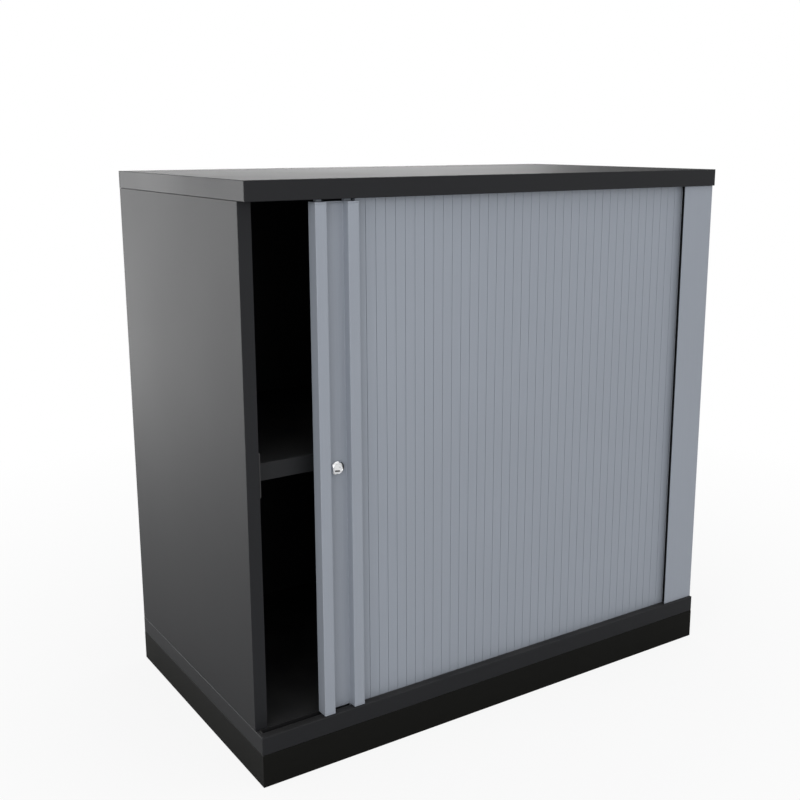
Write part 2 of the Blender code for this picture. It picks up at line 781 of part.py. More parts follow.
def cut_fitting_bores(panel, side, inner_x, inward):
    """Bore a side panel for its fitting cams and for the bolts that reach them from its ends."""
    places = list(fitting_places(side))
    cams = [(inner_x, y, edge_z + up * FITTING_EDGE_DISTANCE) for _, _, y, edge_z, up in places]
    depth = FITTING_DEPTH + FIT_GAP
    bores = rod_cutter(f"{side}_cam_bore_cutter", cams, -inward, FITTING_RADIUS + FIT_GAP, depth, ROUND_STEPS)
    cut(panel, bores)
    for direction, edge_z in ((ALONG_Z, FLOOR_Z), (-ALONG_Z, CEILING_Z)):
        starts = [(x, y, z) for _, x, y, z, _ in places if z == edge_z]
        name = f"{side}_bolt_bore_cutter_{'low' if edge_z == FLOOR_Z else 'high'}"
        radius = BOLT_THREAD_RADIUS + BOLT_HOLE_CLEARANCE
        cut(panel, rod_cutter(name, starts, direction, radius, FITTING_EDGE_DISTANCE))


def pin_hole_rows(name, face_x, into):
    """Two upright rows of shelf pin holes, as one cutter."""
    steps = range(-PIN_HOLES_EACH_WAY, PIN_HOLES_EACH_WAY + 1)
    places = [(face_x, y, PIN_Z + step * PIN_HOLE_PITCH) for y in PIN_PLACES_Y.values() for step in steps]
    return rod_cutter(name, places, into, PIN_RADIUS + FIT_GAP, PIN_SEAT + FIT_GAP)


def strike_slot(extra):
    """Height range of the slot that the cam swings through, and half its width, with a clearance."""
    inset = LOCKED_X - STRIKE_FACE_X
    swing = math.sqrt(CAM_REACH**2 - inset**2)
    low_z = LOCK_HEIGHT - CAM_HALF_WIDTH - extra
    high_z = LOCK_HEIGHT + swing + extra
    return low_z, high_z, CAM_THICKNESS / 2 + SLOT_SIDE_CLEARANCE


def left_side_panel():
    panel = board(
        "left_side_panel",
        (LEFT + SIDE_INSET, SIDE_FRONT_Y, SIDE_LOW_Z),
        (LEFT_INNER_X, BACK, SIDE_HIGH_Z),
        "anthracite_board",
    )
    cut(panel, pin_hole_rows("left_pin_hole_cutter", LEFT_INNER_X, -ALONG_X))
    cut_fitting_bores(panel, "left", LEFT_INNER_X, ALONG_X)
    low_z, high_z, half = strike_slot(SLOT_END_CLEARANCE + FIT_GAP)
    deep_x = LOCKED_X - CAM_REACH - MORTISE_END_CLEARANCE
    low = (deep_x, CAM_MIDDLE_Y - half - FIT_GAP, low_z)
    high = (LEFT_INNER_X + CUT_OVERRUN, CAM_MIDDLE_Y + half + FIT_GAP, high_z)
    cut(panel, box_cutter("mortise_cutter", low, high))
    radius = STRIKE_SCREW_RADIUS + FIT_GAP
    starts = [(LEFT_INNER_X, STRIKE_MIDDLE_Y, z) for z in strike_screw_heights().values()]
    depth = STRIKE_SCREW_LENGTH - STRIKE_THICKNESS
    cut(panel, rod_cutter("strike_screw_hole_cutter", starts, -ALONG_X, radius, depth))
    return panel


def right_side_panel():
    panel = board(
        "right_side_panel",
        (RIGHT_INNER_X, SIDE_FRONT_Y, SIDE_LOW_Z),
        (RIGHT - SIDE_INSET, BACK, SIDE_HIGH_Z),
        "anthracite_board",
    )
    cut_fitting_bores(panel, "right", RIGHT_INNER_X, -ALONG_X)
    return panel


def back_panel():
    return board(
        "back_panel",
        (LEFT_INNER_X + FIT_GAP, BACK_INNER_Y, SIDE_LOW_Z),
        (RIGHT_INNER_X - FIT_GAP, BACK_FACE_Y, SIDE_HIGH_Z),
        "anthracite_board",
    )


def inner_walls():
    """The wall beside the parked shutter and the wall in front of it at the back."""
    side = board(
        "inner_side_panel",
        (INNER_SIDE_X, FRONT + INNER_SIDE_SETBACK, SIDE_LOW_Z),
        (INNER_SIDE_FACE_X, INNER_BACK_FACE_Y, SIDE_HIGH_Z),
        "inner_board",
    )
    cut(side, pin_hole_rows("right_pin_hole_cutter", INNER_SIDE_X, ALONG_X))
    board(
        "inner_back_panel",
        (LEFT_INNER_X + FIT_GAP, INNER_BACK_Y, SIDE_LOW_Z),
        (INNER_SIDE_X - FIT_GAP, INNER_BACK_FACE_Y, SIDE_HIGH_Z),
        "inner_board",
    )


def plinth():
    """Four black boards under the bottom panel, flush with its edges and mitred where they meet."""
    gap = FIT_GAP / math.sqrt(2)
    outer = [(LEFT, FRONT), (RIGHT, FRONT), (RIGHT, BACK), (LEFT, BACK)]
    names = ("plinth_front", "plinth_right", "plinth_back", "plinth_left")
    for name, start, end in zip(names, outer, outer[1:] + outer[:1]):
        start, end = Vector(start), Vector(end)
        along = (end - start).normalized()
        inward = Vector((-along.y, along.x)) * PLINTH_THICKNESS
        near, far = start + gap * along, end - gap * along
        mitre = PLINTH_THICKNESS * along
        loop = [tuple(point) for point in (near, far, far - mitre + inward, near + mitre + inward)]
        upright_profile(name, [loop], 0, PLINTH_HEIGHT - FIT_GAP, "black_board")


def shelf():
    board(
        "shelf",
        (LEFT_INNER_X + SHELF_SIDE_CLEARANCE, SHELF_FRONT_Y, SHELF_LOW_Z),
        (INNER_SIDE_X - SHELF_SIDE_CLEARANCE, SHELF_BACK_Y, SHELF_LOW_Z + SHELF_THICKNESS),
        "inner_board",
    )


def shelf_pins():
    """Four turned steel pins with a collar that sits on the panel's face."""
    collar = FIT_GAP + PIN_COLLAR_THICKNESS
    profile = [
        (0, PIN_REACH),
        (PIN_RADIUS - PIN_END_ROUND, PIN_REACH),
        (PIN_RADIUS, PIN_REACH - PIN_END_ROUND),
        (PIN_RADIUS, collar),
        (PIN_COLLAR_RADIUS, collar),
        (PIN_COLLAR_RADIUS, FIT_GAP),
        (PIN_RADIUS, FIT_GAP),
        (PIN_RADIUS, -PIN_SEAT + PIN_END_ROUND),
        (PIN_RADIUS - PIN_END_ROUND, -PIN_SEAT),
        (0, -PIN_SEAT),
    ]
    for side, face_x, inward in (("left", LEFT_INNER_X, ALONG_X), ("right", INNER_SIDE_X, -ALONG_X)):
        for place, y in PIN_PLACES_Y.items():
            name = f"shelf_pin_{side}_{place}"
            turned(name, profile, "steel", (face_x, y, PIN_Z), facing(ALONG_Z, inward), SMALL_ROUND_STEPS)


def cover_strip():
    """The silver profile that hides the shutter's corner and the right side panel's front edge."""
    left_x, right_x = RIGHT - SIDE_INSET - COVER_WIDTH, RIGHT - SIDE_INSET
    front_y = FRONT + COVER_SETBACK
    plate_y = front_y + COVER_WALL
    rear_y = SIDE_FRONT_Y - FIT_GAP
    leg_x = RIGHT_INNER_X + BOARD_EDGE_ROUND
    loop = [
        (left_x + COVER_CHAMFER, front_y),
        (right_x - COVER_CHAMFER, front_y),
        (right_x, front_y + COVER_CHAMFER),
        (right_x, rear_y),
        (right_x - COVER_LEG_WALL, rear_y),
        (right_x - COVER_LEG_WALL, plate_y),
        (leg_x + COVER_LEG_WALL, plate_y),
        (leg_x + COVER_LEG_WALL, rear_y),
        (leg_x, rear_y),
        (leg_x, plate_y),
        (left_x, plate_y),
        (left_x, front_y + COVER_CHAMFER),
    ]
    upright_profile("corner_cover_strip", [loop], SIDE_LOW_Z, SIDE_HIGH_Z, "silver_plastic")


def lip_seal():
    """The black rubber seal behind the cover strip's left edge: a flat base and a lip that leans to the slats."""
    left_x = RIGHT - SIDE_INSET - COVER_WIDTH
    base_y = FRONT + COVER_SETBACK + COVER_WALL + FIT_GAP
    tip_y = FRONT + SHUTTER_SETBACK - FIT_GAP
    root_x = left_x + SEAL_LIP + SEAL_LEAN * SEAL_BASE / (tip_y - base_y)
    loop = [
        (left_x, base_y),
        (left_x + SEAL_WIDTH, base_y),
        (left_x + SEAL_WIDTH, base_y + SEAL_BASE),
        (root_x, base_y + SEAL_BASE),
        (left_x + SEAL_LEAN + SEAL_LIP, tip_y),
        (left_x + SEAL_LEAN, tip_y),
    ]
    upright_profile("corner_lip_seal", [loop], SIDE_LOW_Z, SIDE_HIGH_Z, "stop_rubber")


# Handle


def rib_front_corners(left_x, right_x):
    front_y = FRONT + RIB_SETBACK
    return [
        (left_x, front_y + HANDLE_CHAMFER),
        (left_x + HANDLE_CHAMFER, front_y),
        (right_x - HANDLE_CHAMFER, front_y),
        (right_x, front_y + HANDLE_CHAMFER),
    ]


def handle_profile():
    """The door's leading profile: two hollow ribs, the grip channel and the slot for the shutter's bead."""
    floor_y = LOCK_SEAT_Y
    floor_back_y = floor_y + CHANNEL_FLOOR
    rib_left_x, rib_right_x = HANDLE_X + RIB_WIDTH, HANDLE_RIGHT_X - RIB_WIDTH
    inner_front_y = FRONT + RIB_SETBACK + HANDLE_WALL
    inner_back_y = HANDLE_BACK_Y - HANDLE_WALL
    neck = NECK_THICKNESS / 2 + FIT_GAP
    loop = rib_front_corners(HANDLE_X, rib_left_x)
    loop += [(rib_left_x, floor_y), (rib_right_x, floor_y)]
    loop += rib_front_corners(rib_right_x, HANDLE_RIGHT_X)
    loop += [
        (HANDLE_RIGHT_X, NECK_Y - neck),
        (HANDLE_RIGHT_X - HANDLE_WALL, NECK_Y - neck),
        (HANDLE_RIGHT_X - HANDLE_WALL, inner_front_y),
        (rib_right_x + HANDLE_WALL, inner_front_y),
        (rib_right_x + HANDLE_WALL, inner_back_y),
        (HANDLE_RIGHT_X - HANDLE_WALL, inner_back_y),
        (HANDLE_RIGHT_X - HANDLE_WALL, NECK_Y + neck),
        (HANDLE_RIGHT_X, NECK_Y + neck),
        (HANDLE_RIGHT_X, HANDLE_BACK_Y),
        (rib_right_x, HANDLE_BACK_Y),
        (rib_right_x, floor_back_y),
        (rib_left_x, floor_back_y),
        (rib_left_x, HANDLE_BACK_Y),
        (HANDLE_X, HANDLE_BACK_Y),
    ]
    chamber = rectangle_loop(HANDLE_X + HANDLE_WALL, inner_front_y, rib_left_x - HANDLE_WALL, inner_back_y)
    handle = upright_profile("handle_profile", [loop, chamber], PROFILE_LOW_Z, PROFILE_HIGH_Z, "silver_plastic")
    start = (LOCK_X, floor_y, LOCK_HEIGHT)
    radius = LOCK_BODY_RADIUS + FIT_GAP
    cut(handle, rod_cutter("lock_hole_cutter", [start], ALONG_Y, radius, CHANNEL_FLOOR + CUT_OVERRUN, ROUND_STEPS))
    return handle


def handle_guide(name, plate_low, plate_high, peg_end, fin_end):
    """End plate of the handle, with two pegs in its ribs and two fins that run in the rail."""
    floor_y = LOCK_SEAT_Y
    rib_left_x, rib_right_x = HANDLE_X + RIB_WIDTH, HANDLE_RIGHT_X - RIB_WIDTH
    notch_x = BEAD_LEFT_X - FIT_GAP
    loop = rib_front_corners(HANDLE_X, rib_left_x)
    loop += [(rib_left_x, floor_y), (rib_right_x, floor_y)]
    loop += rib_front_corners(rib_right_x, HANDLE_RIGHT_X)
    loop += [
        (HANDLE_RIGHT_X, BEAD_FRONT_Y - FIT_GAP),
        (notch_x, BEAD_FRONT_Y - FIT_GAP),
        (notch_x, BEAD_BACK_Y + FIT_GAP),
        (HANDLE_RIGHT_X, BEAD_BACK_Y + FIT_GAP),
        (HANDLE_RIGHT_X, HANDLE_BACK_Y),
        (HANDLE_X, HANDLE_BACK_Y),
    ]
    guide = upright_profile(name, [loop], plate_low, plate_high, "rail_plastic")
    middle = (plate_low + plate_high) / 2
    wall = HANDLE_WALL + FIT_GAP
    near_y, far_y = FRONT + RIB_SETBACK + wall, HANDLE_BACK_Y - wall
    fin_y = FRONT + SHUTTER_SETBACK
    pegs = {
        "left_peg": (HANDLE_X + wall, near_y, rib_left_x - wall, far_y, peg_end),
        "right_peg": (rib_right_x + wall, near_y, notch_x, far_y, peg_end),
        "left_fin": (HANDLE_X + GUIDE_FIN_INSET, fin_y, rib_left_x - GUIDE_FIN_EDGE, HANDLE_BACK_Y, fin_end),
        "right_fin": (rib_right_x + GUIDE_FIN_EDGE, fin_y, notch_x, HANDLE_BACK_Y, fin_end),
    }
    for part, (x0, y0, x1, y1, end) in pegs.items():
        low = (x0, y0, min(middle, end))
        high = (x1, y1, max(middle, end))
        join(guide, box_cutter(f"{name}_{part}", low, high))
    return guide


def handle_guides():
    peg_low = PROFILE_LOW_Z + GUIDE_PEG
    peg_high = PROFILE_HIGH_Z - GUIDE_PEG
    low = handle_guide("handle_bottom_guide", HANDLE_LOW_Z, HANDLE_LOW_Z + GUIDE_PLATE, peg_low, SLAT_LOW_Z)
    high = handle_guide("handle_top_guide", HANDLE_HIGH_Z - GUIDE_PLATE, HANDLE_HIGH_Z, peg_high, SLAT_HIGH_Z)
    return [low, high]


# Lock, drawn with its own +Z to the front and its height zero on the channel floor


def lock_place(depth=0):
    """A point on the lock's axis, this far behind the channel floor's face."""
    return (LOCK_X, LOCK_SEAT_Y + depth, LOCK_HEIGHT)


def lock_housing():
    """The threaded body behind its low rim, with a funnel that leads down to the plug's face."""
    top = FIT_GAP + LOCK_RIM_THICKNESS
    bore = LOCK_PLUG_RADIUS + LOCK_BORE_CLEARANCE
    profile = [
        (LOCK_RIM_RADIUS - LOCK_RIM_CHAMFER, top),
        (LOCK_RIM_RADIUS, top - LOCK_RIM_CHAMFER),
        (LOCK_RIM_RADIUS, FIT_GAP),
        (LOCK_BODY_RADIUS, FIT_GAP),
        (LOCK_BODY_RADIUS, -LOCK_BODY_END),
        (bore, -LOCK_BODY_END),
        (bore, top - LOCK_PLUG_RECESS),
        (LOCK_MOUTH_RADIUS, top),
    ]
    forward = facing(ALONG_Z, -ALONG_Y)
    return turned("lock_housing", profile, "chrome", lock_place(), forward, closed=True)


def lock_nut():
    near = CHANNEL_FLOOR + FIT_GAP
    mesh = bpy.data.meshes.new("lock_nut")
    shape = bmesh.new()
    size = LOCK_NUT_RADIUS
    bmesh.ops.create_cone(
        shape, cap_ends=True, segments=6, radius1=size, radius2=size, depth=LOCK_NUT_THICKNESS
    )
    shape.to_mesh(mesh)
    shape.free()
    place = lock_place(near + LOCK_NUT_THICKNESS / 2)
    nut = add_part("lock_nut", mesh, "zinc", place, facing(ALONG_Z, -ALONG_Y))
    radius = LOCK_BODY_RADIUS + FIT_GAP
    depth = LOCK_NUT_THICKNESS + CUT_OVERRUN
    cut(nut, rod_cutter("nut_hole_cutter", [lock_place(near)], ALONG_Y, radius, depth, ROUND_STEPS))
    return nut


def lock_plug():
    """The turning plug, with its keyway, the square that drives the cam and a hole for the cam's screw."""
    top = FIT_GAP + LOCK_RIM_THICKNESS - LOCK_PLUG_RECESS
    end = -LOCK_BODY_END
    profile = [(0, top), (LOCK_PLUG_RADIUS, top), (LOCK_PLUG_RADIUS, end), (0, end)]
    plug = turned("lock_plug", profile, "chrome", lock_place(), facing(ALONG_Z, -ALONG_Y))
    half = PLUG_SQUARE / 2
    low = (LOCK_X - half, LOCK_SEAT_Y + LOCK_BODY_END / 2, LOCK_HEIGHT - half)
    high = (LOCK_X + half, LOCK_SEAT_Y + CAM_FAR, LOCK_HEIGHT + half)
    join(plug, box_cutter("plug_square", low, high))
    slot_z = LOCK_HEIGHT - KEYWAY_DROP
    slot_x = LOCK_X - KEYWAY_SHIFT
    low = (slot_x - KEYWAY_WIDTH / 2, LOCK_SEAT_Y - top - CUT_OVERRUN, slot_z - KEYWAY_HEIGHT / 2)
    high = (slot_x + KEYWAY_WIDTH / 2, LOCK_SEAT_Y - top + KEYWAY_DEPTH, slot_z + KEYWAY_HEIGHT / 2)
    cut(plug, box_cutter("keyway_cutter", low, high))
    radius = CAM_SCREW_RADIUS + FIT_GAP
    depth = CAM_SCREW_LENGTH + FIT_GAP
    cut(plug, rod_cutter("cam_screw_hole_cutter", [lock_place(CAM_FAR)], -ALONG_Y, radius, depth))
    return plug


def lock_cam():
    """The flat cam: a hub with a square hole and an arm that points up while the door is unlocked."""
    hub_turn = math.asin(CAM_HALF_WIDTH / CAM_HUB_RADIUS)
    tip_turn = math.asin(CAM_HALF_WIDTH / CAM_REACH)
    loop = []
    for step in range(CAM_ARC_STEPS + 1):
        angle = tip_turn - 2 * tip_turn * step / CAM_ARC_STEPS
        loop.append((CAM_REACH * math.sin(angle), CAM_REACH * math.cos(angle)))
    for step in range(CAM_ARC_STEPS + 1):
        angle = -hub_turn - (2 * math.pi - 2 * hub_turn) * step / CAM_ARC_STEPS
        loop.append((CAM_HUB_RADIUS * math.sin(angle), CAM_HUB_RADIUS * math.cos(angle)))
    half = PLUG_SQUARE / 2 + FIT_GAP
    hole = rectangle_loop(-half, -half, half, half)
    place = lock_place((CAM_NEAR + CAM_FAR) / 2)
    curve = flat_curve("lock_cam", [loop, hole], CAM_THICKNESS)
    return as_mesh(add_part("lock_cam", curve, "zinc", place, facing(ALONG_Z, -ALONG_Y)))


def lock_cam_screw():
    """The screw that holds the cam on the plug; its head is behind the cam."""
    head = FIT_GAP + CAM_SCREW_HEAD
    profile = [
        (0, head),
        (CAM_SCREW_HEAD_RADIUS, head),
        (CAM_SCREW_HEAD_RADIUS, FIT_GAP),
        (CAM_SCREW_RADIUS, FIT_GAP),
        (CAM_SCREW_RADIUS, -CAM_SCREW_LENGTH),
        (0, -CAM_SCREW_LENGTH),
    ]
    backward = facing(ALONG_Z, ALONG_Y)
    return turned("lock_cam_screw", profile, "steel", lock_place(CAM_FAR), backward, SMALL_ROUND_STEPS)


# Strike plate


def strike_screw_heights():
    middle = LOCK_HEIGHT + STRIKE_RISE
    return {"lower": middle - STRIKE_SCREW_SPACING / 2, "upper": middle + STRIKE_SCREW_SPACING / 2}


def strike_plate():
    """The slotted plate on the left side panel that the cam swings into."""
    middle_z = LOCK_HEIGHT + STRIKE_RISE
    low_z, high_z, half = strike_slot(SLOT_END_CLEARANCE)
    across, up = STRIKE_WIDTH / 2, STRIKE_HEIGHT / 2
    slot_y = CAM_MIDDLE_Y - STRIKE_MIDDLE_Y
    loops = [
        rectangle_loop(-across, -up, across, up),
        rectangle_loop(slot_y - half, low_z - middle_z, slot_y + half, high_z - middle_z),
    ]
    for z in strike_screw_heights().values():
        loops.append(circle_loop(0, z - middle_z, STRIKE_SCREW_RADIUS + FIT_GAP, SMALL_ROUND_STEPS))
    place = (LEFT_INNER_X + FIT_GAP + STRIKE_THICKNESS / 2, STRIKE_MIDDLE_Y, middle_z)
    curve = flat_curve("strike_plate", loops, STRIKE_THICKNESS)
    as_mesh(add_part("strike_plate", curve, "rail_plastic", place, facing(ALONG_Z, ALONG_X)))


def strike_screws():
    head = FIT_GAP + STRIKE_SCREW_HEAD
    profile = [
        (0, head),
        (STRIKE_SCREW_HEAD_RADIUS - FIT_GAP, head),
        (STRIKE_SCREW_HEAD_RADIUS, head - FIT_GAP),
        (STRIKE_SCREW_HEAD_RADIUS, FIT_GAP),
        (STRIKE_SCREW_RADIUS, FIT_GAP),
        (STRIKE_SCREW_RADIUS, -STRIKE_SCREW_LENGTH + STRIKE_THICKNESS + STRIKE_SCREW_RADIUS),
        (0, -STRIKE_SCREW_LENGTH + STRIKE_THICKNESS),
    ]
    for place, z in strike_screw_heights().items():
        start = (STRIKE_FACE_X, STRIKE_MIDDLE_Y, z)
        name = f"strike_screw_{place}"
        turned(name, profile, "steel", start, facing(ALONG_Z, ALONG_X), SMALL_ROUND_STEPS)


# Knock-down fittings


def fitting_cam_mesh():
    """One cam: its face is at its own +Z, and its bolt comes in from -Y."""
    blank = bpy.data.meshes.new("fitting_cam")
    shape = bmesh.new()
    bmesh.ops.create_cone(
        shape,
        cap_ends=True,
        segments=ROUND_STEPS,
        radius1=FITTING_RADIUS,
        radius2=FITTING_RADIUS,
        depth=FITTING_DEPTH,
        matrix=Matrix.Translation((0, 0, -FITTING_DEPTH / 2)),
    )
    shape.to_mesh(blank)
    shape.free()
    pattern = add_cutter("fitting_cam_pattern", blank)
    bolt_half = BOLT_THREAD_RADIUS + FIT_GAP
    bolt_depth = SIDE_THICKNESS / 2 - bolt_half
    far_y = BOLT_HEAD_LENGTH + FIT_GAP
    low = (-bolt_half, -FITTING_RADIUS - CUT_OVERRUN, -FITTING_DEPTH - CUT_OVERRUN)
    cut(pattern, box_cutter("fitting_bolt_way", low, (bolt_half, far_y, -bolt_depth)))
    slot_x, slot_y = FITTING_SLOT_LENGTH / 2, FITTING_SLOT_WIDTH / 2
    low = (-slot_x, -slot_y, -FITTING_SLOT_DEPTH)
    cut(pattern, box_cutter("fitting_driver_slot", low, (slot_x, slot_y, CUT_OVERRUN)))
    bpy.context.view_layer.update()
    evaluated = pattern.evaluated_get(bpy.context.evaluated_depsgraph_get())
    return bpy.data.meshes.new_from_object(evaluated)


def fitting_bolt_profile():
    """A bolt from its thread, below zero, up to the head that the cam grips."""
    head_end = FITTING_EDGE_DISTANCE + BOLT_HEAD_LENGTH / 2
    head_start = head_end - BOLT_HEAD_LENGTH
    neck_start = head_start - BOLT_NECK_LENGTH
    return [
        (0, head_end),
        (BOLT_SHAFT_RADIUS, head_end),
        (BOLT_SHAFT_RADIUS, head_start),
        (BOLT_NECK_RADIUS, head_start),
        (BOLT_NECK_RADIUS, neck_start),
        (BOLT_SHAFT_RADIUS, neck_start),
        (BOLT_SHAFT_RADIUS, FIT_GAP),
        (BOLT_THREAD_RADIUS, FIT_GAP),
        (BOLT_THREAD_RADIUS, -BOLT_THREAD_LENGTH),
        (0, -BOLT_THREAD_LENGTH),
    ]


def fittings():
    """Eight cams in the side panels and the eight bolts that they draw tight."""
    mesh = fitting_cam_mesh()
    profile = fitting_bolt_profile()
    for side, inner_x, inward in (("left", LEFT_INNER_X, ALONG_X), ("right", RIGHT_INNER_X, -ALONG_X)):
        for name, bolt_x, y, edge_z, up in fitting_places(side):
            away = up * ALONG_Z
            place = (inner_x - FIT_GAP * inward.x, y, edge_z + up * FITTING_EDGE_DISTANCE)
            add_part(f"fitting_cam_{name}", mesh.copy(), "zinc", place, facing(away, inward))
            start = (bolt_x, y, edge_z)
            turned(f"fitting_bolt_{name}", profile, "steel", start, facing(ALONG_Y, away), SMALL_ROUND_STEPS)


def build():
    bottom_panel()
    top_panel()
    left_side_panel()
    right_side_panel()
    back_panel()
    inner_walls()
    plinth()
    shelf()
    shelf_pins()
    cover_strip()
    lip_seal()
    rails("lower", RAIL_LOW_Z, RAIL_TOP_Z, True)
    rails("upper", CEILING_Z + FIT_GAP, CEILING_Z + FIT_GAP + RAIL_HEIGHT, False)
    rail_stops("lower", SLAT_LOW_Z, RAIL_TOP_Z)
    rail_stops("upper", CEILING_Z + FIT_GAP, CEILING_Z + RAIL_HEIGHT - RAIL_FLOOR)
    strike_plate()
    strike_screws()
    fittings()
    door = [handle_profile(), *handle_guides(), shutter(), lock_housing(), lock_nut()]
    lock = [lock_plug(), lock_cam(), lock_cam_screw()]
    door_slide = joint_empty("door_slide", (LOCK_X, HINGE_FRONT_Y, FLOOR_Z))
    lock_axis = joint_empty("lock_axis", lock_place())
    hang_on(lock_axis, lock)
    hang_on(door_slide, [*door, lock_axis])
    for obj in PARTS.objects:
        if obj.type == "MESH":
            smooth_rounds(obj)
    print(f"Door travel: {-DOOR_CLOSE_TRAVEL:.4f} to {DOOR_OPEN_TRAVEL:.4f} m; lock axis at {lock_place()}")


build()
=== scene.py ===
"""Dresses the tambour door cabinet: boards, shutter, handle, lock, their finishes, and the studio."""

import json
import logging
import math
from collections.abc import Callable, Iterable, Sequence
from dataclasses import dataclass, field
from enum import Enum

import bmesh
import bpy
from mathutils import Euler, Matrix, Vector


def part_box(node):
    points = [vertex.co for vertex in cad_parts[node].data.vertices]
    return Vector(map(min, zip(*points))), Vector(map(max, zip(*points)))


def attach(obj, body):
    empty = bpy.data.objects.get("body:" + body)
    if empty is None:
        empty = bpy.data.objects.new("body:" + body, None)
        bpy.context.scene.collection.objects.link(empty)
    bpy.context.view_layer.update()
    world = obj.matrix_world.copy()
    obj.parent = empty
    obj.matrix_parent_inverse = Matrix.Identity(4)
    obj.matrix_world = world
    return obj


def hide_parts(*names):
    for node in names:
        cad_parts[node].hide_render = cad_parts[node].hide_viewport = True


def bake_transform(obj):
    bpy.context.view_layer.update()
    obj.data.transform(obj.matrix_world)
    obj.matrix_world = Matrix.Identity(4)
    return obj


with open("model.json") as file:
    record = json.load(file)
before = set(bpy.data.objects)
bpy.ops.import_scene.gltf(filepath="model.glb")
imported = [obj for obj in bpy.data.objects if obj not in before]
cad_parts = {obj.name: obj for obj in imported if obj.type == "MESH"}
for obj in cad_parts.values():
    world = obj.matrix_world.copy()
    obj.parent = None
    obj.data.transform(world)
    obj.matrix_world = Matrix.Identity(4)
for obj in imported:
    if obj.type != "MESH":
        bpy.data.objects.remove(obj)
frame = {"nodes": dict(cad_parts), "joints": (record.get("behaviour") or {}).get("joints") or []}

log = logging.getLogger("cabinet")

Colour = tuple[float, float, float]
Point = tuple[float, float, float]
GAP = 0.0003
DUST_COLOUR = (0.42, 0.40, 0.37, 1.0)


class Body(str, Enum):
    """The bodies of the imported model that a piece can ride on."""

    CABINET = "cabinet"
    DOOR = "door"
    LOCK = "lock_cylinder"


class Slot(str, Enum):
    """The material slots of the record."""

    BOARD = "anthracite_board"
    PLINTH = "black_board"
    INNER = "inner_board"
    SILVER = "silver_plastic"
    RAIL = "rail_plastic"
    RUBBER = "stop_rubber"
    CHROME = "chrome"
    ZINC = "zinc"
    STEEL = "steel"


class Side(Enum):
    """The four upright sides of a board, as the way each one faces."""

    FRONT = (0, -1, 0)
    BACK = (0, 1, 0)
    LEFT = (-1, 0, 0)
    RIGHT = (1, 0, 0)


# Finishes


class Shader:
    """A node tree with short calls to add and join its nodes."""

    def __init__(self, tree: bpy.types.NodeTree) -> None:
        """Take over a tree.

        Args:
            tree: The material's or the group's node tree.
        """
        self.tree = tree
        self.count = 0

    def node(self, kind: str, **settings: object) -> bpy.types.Node:
        """Add a node.

        Args:
            kind: The node's type, such as ShaderNodeMath.
            settings: Properties of the node, set by name.

        Returns:
            The new node.
        """
        made = self.tree.nodes.new(kind)
        made.location = (220 * (self.count % 8), -260 * (self.count // 8))
        self.count += 1
        for name, value in settings.items():
            setattr(made, name, value)
        return made

    def feed(self, socket: bpy.types.NodeSocket, source: object) -> None:
        """Give an input socket a link or a constant.

        Args:
            socket: The input socket.
            source: An output socket, or a plain value.
        """
        if isinstance(source, bpy.types.NodeSocket):
            self.tree.links.new(source, socket)
        else:
            socket.default_value = source

    def math(self, operation: str, *values: object) -> bpy.types.NodeSocket:
        """Add a Math node.

        Args:
            operation: Its operation.
            values: One source for each of its inputs.

        Returns:
            Its output socket.
        """
        made = self.node("ShaderNodeMath", operation=operation)
        for socket, value in zip(made.inputs, values):
            self.feed(socket, value)
        return made.outputs[0]

    def mix(self, share: object, first: object, second: object) -> bpy.types.NodeSocket:
        """Mix two colours.

        Args:
            share: How much of the second shows.
            first: The first colour.
            second: The second colour.

        Returns:
            The mixed colour's socket.
        """
        made = self.node("ShaderNodeMix", data_type="RGBA")
        self.feed(made.inputs[0], share)
        self.feed(made.inputs[6], first)
        self.feed(made.inputs[7], second)
        return made.outputs[2]

    def span(
        self, value: object, low: float, high: float, to_low: float, to_high: float
    ) -> bpy.types.NodeSocket:
        """Map a value from one range to another, clamped.

        Args:
            value: The value's source.
            low: The start of its range.
            high: The end of its range.
            to_low: What the start becomes.
            to_high: What the end becomes.

        Returns:
            The mapped value's socket.
        """
        made = self.node("ShaderNodeMapRange")
        for socket, source in zip(made.inputs, (value, low, high, to_low, to_high)):
            self.feed(socket, source)
        return made.outputs[0]

    def noise(self, stretch: Point, detail: float) -> bpy.types.NodeSocket:
        """Noise on the piece's own coordinates.

        Args:
            stretch: The scale along X, Y and Z, in features a metre.
            detail: How many finer layers it has.

        Returns:
            The noise's socket, about 0.5 on average.
        """
        coordinates = self.node("ShaderNodeTexCoord").outputs["Object"]
        mapping = self.node("ShaderNodeMapping")
        self.feed(mapping.inputs["Vector"], coordinates)
        mapping.inputs["Scale"].default_value = stretch
        texture = self.node("ShaderNodeTexNoise")
        self.feed(texture.inputs["Vector"], mapping.outputs[0])
        texture.inputs["Scale"].default_value = 1.0
        texture.inputs["Detail"].default_value = detail
        return texture.outputs["Fac"]


